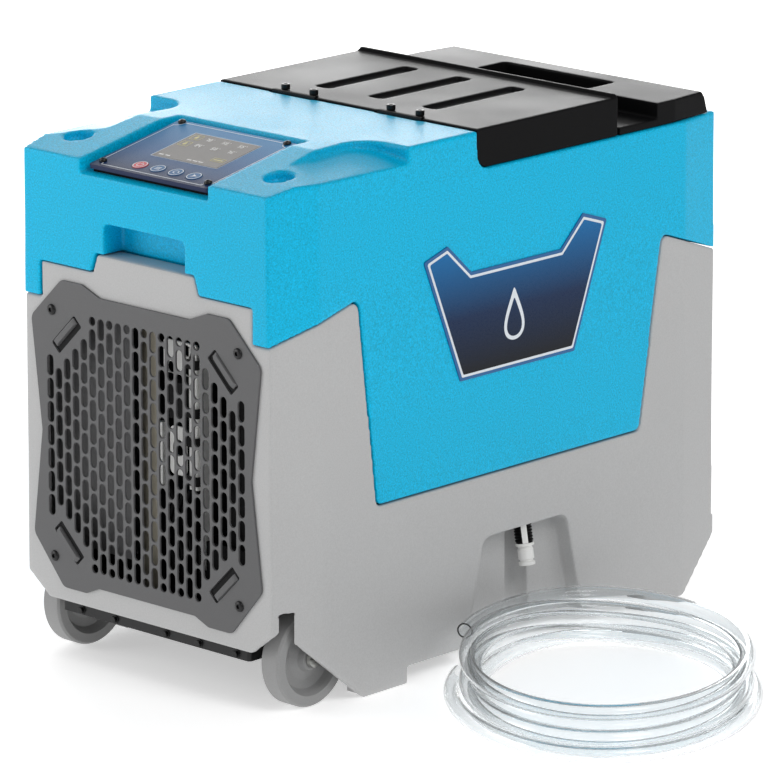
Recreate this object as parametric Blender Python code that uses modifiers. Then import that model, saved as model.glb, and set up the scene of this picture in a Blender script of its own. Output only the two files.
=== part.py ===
"""Portable restoration dehumidifier on two wheels, with its drain hose coiled beside it.

Metres, +Z up. The origin is on the floor at the centre of the machine's footprint: X is the
width, Y the length with the intake grille facing -Y, and the hose lies on the +X side.
"""

import math

import bmesh
import bpy
from mathutils import Matrix, Vector

# Driving dimensions
HALF_WIDTH = 0.185
FRONT_Y = -0.3355  # blue shell, just proud of the grey one
CORNER_X = 0.012  # how far each vertical corner facet runs in from the side
CORNER_Y = 0.060
DRAFT = 0.04  # loss of half width per metre of height
WALL = 0.008
SEAM = 0.0018
CLEAR = 0.0003
DECK_Z = 0.5505
COVER_SEAT_Z = 0.511
LID_TOP_Z = 0.552
LID_FRONT_Y = -0.0455
LID_REAR_Y = 0.1685
REAR_TOP_Z = 0.536
REAR_STEP_Y = 0.230
GREY_FRONT_Y = -0.334
REAR_Y = 0.333
PAD_SLOPE = 0.193
PAD_TOP_Y = -0.2195
PANEL_DROP = 0.006  # top of the control panel below the sloping pad
PANEL_DEPTH = 0.0148  # floor of its recess
WHEEL_RADIUS = 0.050
WHEEL_Y = -0.271
WHEEL_X = (0.1435, 0.1675)
PAN_Z = 0.051
PAN_FLOOR = 0.0543
DRAIN_Y = 0.034
GRILLE_CENTRE = (-0.003, 0.2335)
GRILLE_PITCH = (0.0122, 0.0246)
GRILLE_SLOT = (0.0090, 0.0215)
GRILLE_COLUMNS = 23
COIL_CENTRE = (0.366, -0.0545)
COIL_HALF = (0.210, 0.1555)
COIL_TURN = math.radians(-51.9)
COIL_WIDTH = 0.044
COIL_HEIGHT = 0.062

# The seam between the two shells on each side, as (y, z) from front to rear
SIDE_SEAM = [
    (-0.360, 0.371),
    (-0.220, 0.409),
    (-0.195, 0.194),
    (0.202, 0.194),
    (0.237, 0.397),
    (0.360, 0.355),
]
# The grey tongue that rises into the upper shell's front, as half its (x, z) outline
TONGUE = [(0.1485, 0.415), (0.0750, 0.415), (0.0685, 0.4345)]

AXES = {
    "X": Matrix(((0, 0, 1), (1, 0, 0), (0, 1, 0))),
    "Y": Matrix(((1, 0, 0), (0, 0, -1), (0, 1, 0))),
    "Z": Matrix.Identity(3),
}

for old in list(bpy.data.objects):
    bpy.data.objects.remove(old)

PARTS = bpy.data.collections.new("dehumidifier")
CUTTERS = bpy.data.collections.new("cutters")
bpy.context.scene.collection.children.link(PARTS)
bpy.context.scene.collection.children.link(CUTTERS)


# ---------------------------------------------------------------- helpers


def material(name, colour, roughness=0.5, metallic=0.0):
    made = bpy.data.materials.new(name)
    made.use_nodes = True
    shader = made.node_tree.nodes["Principled BSDF"]
    shader.inputs["Base Color"].default_value = (*colour, 1)
    shader.inputs["Roughness"].default_value = roughness
    shader.inputs["Metallic"].default_value = metallic
    return made


BLUE = material("blue_polyethylene", (0.02, 0.46, 0.70), 0.45)
GREY = material("grey_polyethylene", (0.43, 0.43, 0.43), 0.55)
BLACK = material("black_plastic", (0.02, 0.02, 0.02), 0.35)
PLATE = material("powder_coated_steel", (0.12, 0.12, 0.12), 0.5, 0.3)
WHEEL_GREY = material("grey_wheel_plastic", (0.40, 0.40, 0.40), 0.5)
FASTENER = material("black_oxide_steel", (0.02, 0.02, 0.02), 0.4, 0.8)
STEEL = material("zinc_plated_steel", (0.55, 0.55, 0.53), 0.35, 1.0)
GALVANISED = material("galvanised_end_plate", (0.42, 0.40, 0.34), 0.5, 0.6)
ALUMINIUM = material("coil_fins", (0.60, 0.61, 0.62), 0.4, 1.0)
COPPER = material("copper_pipe", (0.72, 0.35, 0.20), 0.3, 1.0)
WHITE = material("white_plastic", (0.80, 0.80, 0.80), 0.4)
OVERLAY = material("panel_overlay", (0.05, 0.16, 0.29), 0.35)
SCREEN = material("display_window", (0.16, 0.15, 0.14), 0.15)
RED = material("red_button", (0.65, 0.08, 0.10), 0.4)
BADGE = material("side_badge", (0.01, 0.08, 0.20), 0.35)
BOARD = material("circuit_board", (0.02, 0.16, 0.07), 0.5)
VINYL = material("clear_vinyl", (0.80, 0.83, 0.84), 0.15)


def place(name, mesh, look=None):
    """Adds a mesh as a part of the machine, or as a cutter when it has no look."""
    mesh.name = name
    obj = bpy.data.objects.new(name, mesh)
    if look:
        PARTS.objects.link(obj)
        mesh.materials.clear()
        mesh.materials.append(look)
        mesh.shade_smooth()
        mesh.set_sharp_from_angle(angle=math.radians(35))
    else:
        CUTTERS.objects.link(obj)
        obj.hide_render = True
        obj.display_type = "WIRE"
    return obj


def mesh_of(bm):
    mesh = bpy.data.meshes.new("mesh")
    bmesh.ops.recalc_face_normals(bm, faces=bm.faces)
    bm.to_mesh(mesh)
    bm.free()
    return mesh


def block(name, low, high, look=None):
    low, high = Vector(low), Vector(high)
    bm = bmesh.new()
    bmesh.ops.create_cube(bm, size=1)
    bmesh.ops.scale(bm, vec=high - low, verts=bm.verts)
    bmesh.ops.translate(bm, vec=(low + high) / 2, verts=bm.verts)
    return place(name, mesh_of(bm), look)


def rod(name, axis, start, length, radius, look=None, sides=20, tip=None):
    """A cylinder, or a cone when it has a tip radius, from start along an axis of AXES."""
    bm = bmesh.new()
    bmesh.ops.create_cone(
        bm,
        cap_ends=True,
        segments=sides,
        radius1=radius,
        radius2=radius if tip is None else tip,
        depth=length,
    )
    bmesh.ops.translate(bm, vec=(0, 0, length / 2), verts=bm.verts)
    bm.transform(AXES[axis].to_4x4())
    bmesh.ops.translate(bm, vec=start, verts=bm.verts)
    return place(name, mesh_of(bm), look)


def curve_mesh(curve, matrix):
    """A curve as a mesh whose caps are welded to its sides."""
    source = bpy.data.objects.new("source_curve", curve)
    bpy.context.scene.collection.objects.link(source)
    graph = bpy.context.evaluated_depsgraph_get()
    mesh = bpy.data.meshes.new_from_object(source.evaluated_get(graph))
    bpy.data.objects.remove(source)
    bm = bmesh.new()
    bm.from_mesh(mesh)
    bm.transform(matrix)
    bmesh.ops.remove_doubles(bm, verts=bm.verts, dist=1e-5)
    return mesh_of(bm)


def spline(curve, points, closed):
    made = curve.splines.new("POLY")
    made.points.add(len(points) - 1)
    for place_at, point in zip(made.points, points):
        place_at.co = (*point, *[0] * (3 - len(point)), 1)
    made.use_cyclic_u = closed


def prism(name, axis, outlines, low, high, look=None):
    """A flat outline, with any holes after it, extruded along an axis from low to high.

    The outline's points are (y, z) for axis X, (x, z) for axis Y and (x, y) for axis Z.
    """
    curve = bpy.data.curves.new("outline", "CURVE")
    curve.dimensions = "2D"
    curve.fill_mode = "BOTH"
    curve.extrude = (high - low) / 2
    for outline in outlines:
        spline(curve, outline, True)
    middle = (low + high) / 2
    shift = {"X": (middle, 0, 0), "Y": (0, middle, 0), "Z": (0, 0, middle)}[axis]
    mesh = curve_mesh(curve, Matrix.Translation(shift) @ AXES[axis].to_4x4())
    return place(name, mesh, look)


def tube(name, points, radius, look):
    curve = bpy.data.curves.new("run", "CURVE")
    curve.dimensions = "3D"
    curve.bevel_depth = radius
    curve.bevel_resolution = 1
    curve.use_fill_caps = True
    spline(curve, points, False)
    return place(name, curve_mesh(curve, Matrix.Identity(4)), look)


def turned(name, axis, origin, profile, look=None, steps=24, closed=False):
    """A profile of (radius, height) points turned about an axis of AXES through origin.

    The profile runs down its outer side, top to bottom; a closed one is a ring's section.
    """
    bm = bmesh.new()
    points = [bm.verts.new((radius, 0, height)) for radius, height in profile]
    for first, second in zip(points, points[1:] + points[:1] * closed):
        bm.edges.new((first, second))
    mesh = bpy.data.meshes.new("profile")
    bm.to_mesh(mesh)
    bm.free()
    obj = place(name, mesh, look)
    obj.matrix_world = Matrix.Translation(origin) @ AXES[axis].to_4x4()
    screw = obj.modifiers.new("turn", "SCREW")
    screw.axis = "Z"
    screw.steps = steps
    screw.render_steps = steps
    screw.use_merge_vertices = True
    screw.merge_threshold = 0.0001
    return obj


def combine(obj, other, operation="DIFFERENCE"):
    """Cuts, joins or trims obj by other, which becomes a hidden helper."""
    boolean = obj.modifiers.new(other.name, "BOOLEAN")
    boolean.operation = operation
    boolean.object = other
    return obj


def rounded(points, radii, steps=4):
    """A closed outline whose corners are rounded, each by its own radius."""
    made = []
    count = len(points)
    for index, radius in enumerate(radii):
        here = Vector(points[index])
        before = (Vector(points[index - 1]) - here).normalized()
        after = (Vector(points[(index + 1) % count]) - here).normalized()
        if radius == 0:
            made.append(tuple(here))
            continue
        half = before.angle(after) / 2
        bisector = (before + after).normalized()
        centre = here + bisector * (radius / math.sin(half))
        start = here + before * (radius / math.tan(half)) - centre
        sweep = math.pi - 2 * half
        turn = 1 if before.x * after.y - before.y * after.x > 0 else -1
        for step in range(steps + 1):
            angle = -turn * sweep * step / steps
            made.append(tuple(centre + Matrix.Rotation(angle, 2) @ start))
    return made


def rectangle(x_low, x_high, y_low, y_high):
    return [(x_low, y_low), (x_high, y_low), (x_high, y_high), (x_low, y_high)]


def mirrored(half):
    """A closed outline from its right half, listed from bottom to top."""
    return half + [(-x, z) for x, z in reversed(half)]


def body(name, front, rear, low, high, inset=0.0, look=None):
    """The machine's plan outline as a solid that narrows upwards."""
    side = HALF_WIDTH - inset
    corner = HALF_WIDTH - CORNER_X - inset * 1.3
    facet = CORNER_Y - inset * 0.3
    front, rear = front + inset, rear - inset
    outline = [
        (-corner, front),
        (corner, front),
        (side, front + facet),
        (side, rear - facet),
        (corner, rear),
        (-corner, rear),
        (-side, rear - facet),
        (-side, front + facet),
    ]
    obj = prism(name, "Z", [outline], low, high, look)
    for vertex in obj.data.vertices:
        vertex.co.x *= 1 - DRAFT * max(vertex.co.z - 0.100, 0)
    return obj


def pad_height(y):
    """Height of the sloping pad around the control panel."""
    return DECK_Z + PAD_SLOPE * (y - PAD_TOP_Y)


def moved(points, offset):
    return [(y + offset * along, z + offset) for (y, z), along in points]


def side_seam(offset):
    """The side seam moved into the upper shell, or into the lower one when negative."""
    along = (0, 1, 1, -1, -1, 0)
    return moved(list(zip(SIDE_SEAM, along)), offset)


def tongue_outline(offset, base):
    """The tongue's outline down to a base, grown into the upper shell by an offset."""
    return mirrored([(TONGUE[0][0] + offset, base), *[(x + offset, z + offset) for x, z in TONGUE]])


# ---------------------------------------------------------------- shells


def scallop(name, side):
    """The scooped hand hold beside the pad: a round-cornered floor that slopes outwards."""
    outer = HALF_WIDTH + 0.010
    plan = rounded(
        [(0.130, -0.292), (outer, -0.300), (outer, -0.146), (0.120, -0.148)],
        [0.030, 0, 0, 0.030],
        5,
    )
    plan = [(side * x, y) for x, y in plan]
    obj = prism(name, "Z", [plan], 0.530, 0.600)
    for vertex in obj.data.vertices:
        if vertex.co.z < 0.55:
            vertex.co.z = 0.534 + 0.16 * (0.180 - abs(vertex.co.x))
    return obj


def front_pocket(shell):
    """The finger pocket above the grey tongue, with its own walls inside the shell."""
    mouth = [(0.0565, 0.425), (0.0565, 0.467)]
    walls = [(0.0645, 0.4375), (0.0645, 0.475)]
    outline = rounded(mirrored(mouth), [0, 0.006, 0.006, 0], 3)
    combine(shell, prism("cut_pocket_walls", "Y", [mirrored(walls)], -0.332, -0.3005), "UNION")
    combine(shell, prism("cut_pocket", "Y", [outline], -0.345, -0.3085))


def upper_shell():
    shell = body("upper_shell", FRONT_Y, REAR_Y, 0.15, DECK_Z, look=BLUE)
    under = side_seam(SEAM / 2) + [(0.36, 0.10), (-0.36, 0.10)]
    combine(shell, prism("cut_upper_below_seam", "X", [under], -0.2, 0.2))
    combine(
        shell,
        prism("cut_upper_tongue", "Y", [tongue_outline(SEAM / 2, 0.300)], -0.345, -0.304),
    )
    slope = [
        (-0.36, pad_height(-0.36)),
        (PAD_TOP_Y, DECK_Z),
        (PAD_TOP_Y, 0.60),
        (-0.36, 0.60),
    ]
    combine(shell, prism("cut_pad_slope", "X", [slope], -0.2, 0.2))
    for side, word in ((-1, "left"), (1, "right")):
        combine(shell, scallop(f"cut_scallop_{word}", side))
        combine(
            shell,
            rod(f"cut_stack_recess_{word}", "Z", (side * 0.140, -0.287, 0.529), 0.03, 0.015),
        )
    floor = pad_height(-0.36) - PANEL_DEPTH
    rise = pad_height(-0.1955) - PANEL_DEPTH
    panel = [(-0.36, floor), (-0.1955, rise), (-0.192, 0.60), (-0.36, 0.60)]
    combine(shell, prism("cut_panel_pocket", "X", [panel], -0.0895, 0.0895))
    cover = rounded(
        rectangle(-0.0465, 0.36, COVER_SEAT_Z, 0.60), [0.016, 0, 0, 0], 4
    )
    combine(shell, prism("cut_cover_seat", "X", [cover], -0.2, 0.2))
    hollow = body("cut_upper_hollow", FRONT_Y, REAR_Y, 0.10, 0.60, inset=WALL)
    roof = [
        (-0.34, 0.09),
        (0.34, 0.09),
        (0.34, COVER_SEAT_Z - WALL),
        (-0.0545, COVER_SEAT_Z - WALL),
        (-0.0545, DECK_Z - WALL),
        (-0.135, DECK_Z - WALL),
        (-0.135, 0.5245),
        (-0.190, 0.5245),
        (-0.34, 0.4975),
    ]
    combine(hollow, prism("cut_upper_roof", "X", [roof], -0.2, 0.2), "INTERSECT")
    tub = rectangle(-0.158, 0.158, -0.042, 0.166)
    combine(hollow, prism("cut_tub_walls", "Z", [tub], 0.4325, 0.60))
    combine(shell, hollow)
    front_pocket(shell)
    storage = rounded(rectangle(-0.150, 0.150, -0.034, 0.158), [0.012] * 4, 3)
    combine(shell, prism("cut_storage", "Z", [storage], 0.4405, 0.60))
    combine(shell, block("cut_rear_well", (-0.0835, 0.2305, 0.46), (0.0835, 0.2865, 0.60)))
    for side, word in ((-1, "left"), (1, "right")):
        low, high = sorted((side * 0.043, side * 0.105))
        combine(
            shell,
            block(f"cut_hinge_{word}", (low, -0.0485, 0.5190), (high, -0.0425, 0.56)),
        )
    return shell


def lower_shell():
    shell = body("lower_shell", GREY_FRONT_Y, REAR_Y, 0, 0.42, look=GREY)
    above = side_seam(-SEAM / 2) + [(0.36, 0.50), (-0.36, 0.50)]
    combine(shell, prism("cut_lower_above_seam", "X", [above], -0.2, 0.2))
    combine(
        shell,
        body("cut_lower_hollow", GREY_FRONT_Y, REAR_Y, -0.05, 0.50, inset=WALL),
    )
    combine(
        shell,
        prism("cut_tongue", "Y", [tongue_outline(-SEAM / 2, 0.3725)], GREY_FRONT_Y, -0.307),
        "UNION",
    )
    bumper = block("cut_bumper", (-0.172, 0.3265, 0.048), (0.172, 0.3388, 0.074))
    combine(shell, bumper, "UNION")
    for side, word in ((-1, "left"), (1, "right")):
        housing = sorted((side * 0.134, side * 0.1795))
        combine(
            shell,
            block(
                f"cut_well_block_{word}",
                (housing[0], -0.3265, 0.0505),
                (housing[1], -0.207, 0.113),
            ),
            "UNION",
        )
        hollow = sorted((side * 0.139, side * 0.1765))
        combine(
            shell,
            block(f"cut_well_{word}", (hollow[0], -0.3258, -0.02), (hollow[1], -0.212, 0.108)),
        )
        feet = sorted((side * 0.158, side * 0.1795))
        for end, (low, high) in {"front": (-0.2115, -0.151), "rear": (0.215, 0.272)}.items():
            combine(
                shell,
                block(f"cut_foot_{end}_{word}", (feet[0], low, 0), (feet[1], high, 0.040)),
                "UNION",
            )
        drain_recess(shell, side, word)
    under_front = [(-0.3255, -0.02), (-0.215, -0.02), (-0.215, 0.0), (-0.3255, 0.0892)]
    for side, word in ((-1, "left"), (1, "right")):
        low, high = sorted((side * 0.1335, side * 0.2))
        combine(shell, prism(f"cut_under_front_{word}", "X", [under_front], low, high))
    chin = mirrored([(0.20, -0.02), (0.20, 0.107), (0.187, 0.098), (0.143, 0.064)])
    combine(shell, prism("cut_chin", "Y", [chin], -0.345, -0.3255))
    combine(shell, block("cut_under", (-0.20, -0.151, -0.02), (0.20, 0.215, 0.018)))
    rear = [(0.275, -0.02), (0.36, -0.02), (0.36, 0.072), (0.275, 0.0)]
    combine(shell, prism("cut_under_rear", "X", [rear], -0.2, 0.2))
    combine(shell, block("cut_rear_skirt", (-0.158, 0.320, -0.02), (0.158, 0.345, 0.048)))
    opening = rounded(rectangle(-0.146, 0.140, 0.098, 0.369), [0.04] * 4, 3)
    combine(shell, prism("cut_intake", "Y", [opening], -0.345, -0.29))
    combine(shell, rod("cut_outlet", "Y", (0, 0.345, 0.215), 0.04, 0.098, sides=32))
    return shell


def drain_recess(shell, side, word):
    """A flared pocket in the side wall, with its own walls and a half-round groove behind it."""

    def flare(grow):
        points = [
            (-0.062 - grow, 0.0175),
            (0.114 + grow, 0.0175),
            (0.088 + grow, 0.128 + grow),
            (-0.037 - grow, 0.128 + grow),
        ]
        return rounded(points, [0, 0, 0.012, 0.012], 3)

    low, high = sorted((side * 0.159, side * 0.1795))
    combine(shell, prism(f"cut_recess_walls_{word}", "X", [flare(0.005)], low, high), "UNION")
    root = (side * 0.164, DRAIN_Y, 0.0175)
    combine(shell, rod(f"cut_groove_wall_{word}", "Z", root, 0.1155, 0.0205), "UNION")
    low, high = sorted((side * 0.164, side * 0.200))
    combine(shell, prism(f"cut_recess_{word}", "X", [flare(0)], low, high))
    root = (side * 0.164, DRAIN_Y, 0.0)
    combine(shell, rod(f"cut_groove_{word}", "Z", root, 0.128, 0.0165))


# ---------------------------------------------------------------- front


def grille():
    x_mid, z_mid = GRILLE_CENTRE
    half = [
        (0.066, 0.0875),
        (0.087, 0.0795),
        (0.119, 0.0795),
        (0.1615, 0.128),
        (0.1480, 0.241),
        (0.1620, 0.358),
        (0.119, 0.4000),
        (0.088, 0.4000),
        (0.0625, 0.3900),
    ]
    radii = [0.006, 0.008, 0.010, 0.014, 0.020, 0.014, 0.010, 0.008, 0.006]
    outline = rounded(mirrored(half), radii + radii[::-1], 2)
    slots = []
    middle = GRILLE_COLUMNS // 2
    for column in range(GRILLE_COLUMNS):
        away = abs(column - middle)
        x = x_mid + (column - middle) * GRILLE_PITCH[0]
        reach = 0.1335 if away <= 6 else 0.1335 - GRILLE_PITCH[1] / 2 * min(away - 6, 4)
        reach += GRILLE_PITCH[1] / 2 * (away == 11)
        wide = GRILLE_SLOT[0] / 2
        slot = rectangle(x - wide, x + wide, z_mid - reach, z_mid + reach)
        slots.append(rounded(slot, [wide * 0.7] * 4, 1))
    plate = prism("front_grille", "Y", [outline], GREY_FRONT_Y - 0.0025, GREY_FRONT_Y - CLEAR, PLATE)
    combine(plate, prism("cut_slots", "Y", slots, -0.34, -0.32))
    for x, z in ((-0.131, 0.3675), (0.131, 0.3675), (-0.131, 0.1105), (0.131, 0.1105)):
        upper = "upper" if z > z_mid else "lower"
        side = "left" if x < 0 else "right"
        combine(
            plate,
            rod(f"cut_grille_{upper}_{side}", "Y", (x, -0.32, z), 0.02, 0.0028, sides=10),
        )
        head = [
            (0, 0.0020),
            (0.0042, 0.0016),
            (0.0048, 0),
            (0.0024, 0),
            (0.0024, -0.0024),
            (0, -0.0024),
        ]
        turned(
            f"grille_screw_{upper}_{side}",
            "Y",
            (x, GREY_FRONT_Y - 0.0028, z),
            head,
            FASTENER,
            10,
        )
    return plate


def panel_matrix():
    """Frame of the control panel: X across, Y up the slope, Z out of its face."""
    y = -0.2625
    origin = (0, y, pad_height(y) - PANEL_DROP)
    return Matrix.Translation(origin) @ Matrix.Rotation(math.atan(PAD_SLOPE), 4, "X")


def control_panel():
    frame = panel_matrix()
    plate = prism(
        "control_panel",
        "Z",
        [rounded(rectangle(-0.083, 0.083, -0.068, 0.062), [0.003] * 4, 1)],
        -0.0080,
        0,
        OVERLAY,
    )
    combine(plate, block("cut_window", (-0.0383, -0.0232, -0.0015), (0.0523, 0.0405, 0.01)))
    window = block("display_window", (-0.038, -0.0229, -0.0012), (0.052, 0.0402, 0.0003), SCREEN)
    pieces = [plate, window]
    for index, name in enumerate(("power", "mode", "set", "timer")):
        centre = (-0.029 + 0.025 * index, -0.0485)
        hole = rod(f"cut_button_{name}", "Z", (*centre, -0.02), 0.04, 0.0088, sides=16)
        button = rod(
            f"button_{name}",
            "Z",
            (*centre, -0.0055),
            0.0061,
            0.0083,
            RED if index == 0 else OVERLAY,
            16,
        )
        combine(plate, hole)
        pieces += [hole, button]
    screw = [
        (0, 0.0034),
        (0.0036, 0.0030),
        (0.0050, 0.0014),
        (0.0050, CLEAR),
        (0.0020, CLEAR),
        (0.0020, -0.0075),
        (0, -0.0075),
    ]
    for side, word in ((-1, "left"), (1, "right")):
        for end, v in (("front", -0.0565), ("rear", 0.0565)):
            centre = (side * 0.0735, v)
            hole = rod(f"cut_panel_{end}_{word}", "Z", (*centre, -0.02), 0.04, 0.0024, sides=10)
            combine(plate, hole)
            head = turned(f"panel_screw_{end}_{word}", "Z", (*centre, 0), screw, FASTENER, 10)
            pieces += [hole, head]
    pieces.append(bpy.data.objects["cut_window"])
    for piece in pieces:
        piece.matrix_world = frame @ piece.matrix_world


# ---------------------------------------------------------------- top


def storage_lid():
    side = rounded(
        rectangle(LID_FRONT_Y, LID_REAR_Y, COVER_SEAT_Z + 0.0006, LID_TOP_Z),
        [0.016, 0.003, 0.003, 0.0],
        4,
    )
    lid = prism("storage_lid", "X", [side], -0.1795, 0.1795, BLACK)
    combine(lid, block("cut_lid_inside", (-0.1755, -0.06, 0.50), (0.1755, 0.1645, 0.5465)))
    bead = rod("cut_lid_bead", "X", (-0.178, 0.1645, LID_TOP_Z), 0.356, 0.0040, sides=12)
    combine(lid, bead, "UNION")
    for index, x in enumerate((-0.075, 0, 0.075)):
        recess = rounded(rectangle(x - 0.0105, x + 0.0105, -0.003, 0.133), [0.006] * 4, 2)
        combine(lid, prism(f"cut_lid_recess_{index}", "Z", [recess], 0.5485, 0.56))
    for side, word in ((-1, "left"), (1, "right")):
        low, high = sorted((side * 0.043, side * 0.105))
        combine(
            lid,
            block(f"cut_lid_hinge_{word}", (low, -0.05, 0.54), (high, -0.0418, 0.56)),
        )
        for place_name, x in (("inner", 0.054), ("outer", 0.094)):
            start = (side * x, -0.0365, 0.54)
            combine(lid, rod(f"cut_lid_{place_name}_{word}", "Z", start, 0.02, 0.0024, sides=10))
            bolt = [
                (0, 0.0060),
                (0.0040, 0.0060),
                (0.0044, 0.0054),
                (0.0044, CLEAR),
                (0.0020, CLEAR),
                (0.0020, -0.0050),
                (0, -0.0050),
            ]
            where = (side * x, -0.0365, LID_TOP_Z)
            turned(f"hinge_bolt_{place_name}_{word}", "Z", where, bolt, FASTENER, 12)
    return lid


def hinges():
    """A fixed leaf with its knuckle on the deck's rear wall, and a strap under the lid."""
    for side, word in ((-1, "left"), (1, "right")):
        low, high = sorted((side * 0.044, side * 0.104))
        leaf = block(f"hinge_leaf_{word}", (low, -0.0461, 0.5200), (high, -0.0446, 0.5512), FASTENER)
        knuckle = rod(f"cut_knuckle_{word}", "X", (low, -0.0443, 0.5512), 0.060, 0.0018, sides=10)
        combine(leaf, knuckle, "UNION")
        block(f"lid_strap_{word}", (low, -0.0415, 0.5442), (high, -0.012, 0.5462), FASTENER)


def rear_cover():
    seat = COVER_SEAT_Z + 0.0006
    side = [
        (0.1715, seat),
        (0.3180, seat),
        (0.3120, 0.530),
        (0.3060, REAR_TOP_Z),
        (REAR_STEP_Y, REAR_TOP_Z),
        (REAR_STEP_Y, 0.5195),
        (0.1715, 0.5195),
    ]
    cover = prism("rear_cover", "X", [side], -0.1795, 0.1795, BLACK)
    plan = [
        (-0.1795, 0.17),
        (0.1795, 0.17),
        (0.1795, 0.258),
        (0.172, 0.33),
        (-0.172, 0.33),
        (-0.1795, 0.258),
    ]
    combine(cover, prism("cut_cover_plan", "Z", [plan], 0.50, 0.56), "INTERSECT")
    combine(cover, block("cut_cover_tub", (-0.082, 0.232, 0.466), (0.082, 0.285, 0.520)), "UNION")
    pocket = rounded(rectangle(-0.078, 0.078, 0.236, 0.281), [0.005] * 4, 2)
    combine(cover, prism("cut_cover_pocket", "Z", [pocket], 0.470, 0.56))
    return cover


# ---------------------------------------------------------------- sides and rear


def side_badges():
    """A plain label plate low on each side of the upper shell."""
    outline = [
        (-0.074, 0.299),
        (0.098, 0.299),
        (0.146, 0.430),
        (0.111, 0.441),
        (0.077, 0.409),
        (-0.057, 0.409),
        (-0.092, 0.441),
        (-0.127, 0.430),
    ]
    for side, word in ((-1, "left"), (1, "right")):
        wall = HALF_WIDTH * (1 - DRAFT * (0.370 - 0.100))
        tilt = Matrix.Rotation(-side * math.atan(HALF_WIDTH * DRAFT), 4, "Y")
        plate = prism(f"side_badge_{word}", "X", [outline], -0.0004, 0.0004, BADGE)
        about = Matrix.Translation((side * (wall + 0.0008), 0, 0.370))
        plate.matrix_world = about @ tilt @ Matrix.Translation((0, 0, -0.370))


def drain():
    """The ribbed sleeve and quick connector that hang in the +X drain recess."""
    lean = Matrix.Rotation(math.radians(-10), 4, "Y")
    hang = Matrix.Translation((0.1690, DRAIN_Y + 0.003, 0.1258)) @ lean
    sleeve = [(0, 0)]
    for rib in range(4):
        z = -0.0015 - 0.0048 * rib
        sleeve += [(0.0096, z), (0.0096, z - 0.0024), (0.0086, z - 0.0030), (0.0086, z - 0.0042)]
    sleeve += [(0.0086, -0.0205), (0, -0.0205)]
    fitting = [
        (0, -0.0208),
        (0.0088, -0.0208),
        (0.0088, -0.0238),
        (0.0066, -0.0245),
        (0.0066, -0.0370),
        (0.0074, -0.0378),
        (0.0074, -0.0420),
        (0.0044, -0.0420),
        (0.0044, -0.0300),
        (0, -0.0300),
    ]
    turned("drain_sleeve", "Z", (0, 0, 0), sleeve, BLACK, 16)
    turned("drain_connector", "Z", (0, 0, 0), fitting, WHITE, 16)
    for name in ("drain_sleeve", "drain_connector"):
        obj = bpy.data.objects[name]
        obj.matrix_world = hang @ obj.matrix_world


def outlet_grille():
    """Round exhaust guard of concentric rings on spokes, bolted over the rear outlet."""
    holes = []
    for ring in range(5):
        inner, outer = 0.020 + 0.015 * ring, 0.031 + 0.015 * ring
        for quarter in range(4):
            start = math.pi / 2 * quarter + 0.004 / inner
            end = math.pi / 2 * (quarter + 1) - 0.004 / inner
            count = 4 + ring
            angles = [start + (end - start) * step / count for step in range(count + 1)]
            hole = [(outer * math.cos(a), 0.215 + outer * math.sin(a)) for a in angles]
            hole += [(inner * math.cos(a), 0.215 + inner * math.sin(a)) for a in reversed(angles)]
            holes.append(hole)
    rim = [
        (0.112 * math.cos(math.tau * step / 32), 0.215 + 0.112 * math.sin(math.tau * step / 32))
        for step in range(32)
    ]
    return prism("outlet_grille", "Y", [rim, *holes], REAR_Y + CLEAR, REAR_Y + 0.0025, PLATE)


def cord_gland():
    profile = [(0, 0.0045), (0.010, 0.0045), (0.013, 0.0030), (0.013, 0), (0, 0)]
    gland = turned("cord_gland", "Y", (0.130, REAR_Y + CLEAR, 0.130), profile, BLACK, 16)
    gland.matrix_world = gland.matrix_world @ Matrix.Rotation(math.pi, 4, "X")
    return gland


# ---------------------------------------------------------------- wheels


def wheels():
    inner, outer = WHEEL_X
    width = outer - inner
    tyre = [
        (0.0068, width / 2 + 0.0005),
        (0.0160, width / 2 + 0.0005),
        (0.0175, 0.0040),
        (0.0365, 0.0035),
        (0.0385, width / 2),
        (0.0480, width / 2),
        (WHEEL_RADIUS, width / 2 - 0.002),
        (WHEEL_RADIUS, 0.002 - width / 2),
        (0.0480, -width / 2),
        (0.0385, -width / 2),
        (0.0365, -0.0035),
        (0.0175, -0.0040),
        (0.0160, -width / 2),
        (0.0068, -width / 2),
    ]
    stub = [
        (0, 0.0322),
        (0.0085, 0.0322),
        (0.0095, 0.0290),
        (0.0063, 0.0290),
        (0.0063, 0.0030),
        (0.0150, 0.0030),
        (0.0150, 0),
        (0, 0),
    ]
    for side, word in ((-1, "left"), (1, "right")):
        axle_line = (side * (inner + outer) / 2, WHEEL_Y, WHEEL_RADIUS)
        turned(f"wheel_{word}", "X", axle_line, tyre, WHEEL_GREY, 32, closed=True)
        root = (side * 0.1393, WHEEL_Y, WHEEL_RADIUS)
        axle = turned(f"axle_{word}", "X", root, stub, STEEL, 14)
        if side < 0:
            axle.matrix_world = axle.matrix_world @ Matrix.Rotation(math.pi, 4, "X")
            wheel = bpy.data.objects[f"wheel_{word}"]
            wheel.matrix_world = wheel.matrix_world @ Matrix.Rotation(math.pi, 4, "X")


# ---------------------------------------------------------------- inside


def base_pan():
    pan = block("base_pan", (-0.133, -0.3250, PAN_Z), (0.133, 0.3195, 0.070), FASTENER)
    inside = block("cut_pan", (-0.1305, -0.3225, PAN_FLOOR - CLEAR), (0.1305, 0.3170, 0.08))
    combine(pan, inside)
    return pan


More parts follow.
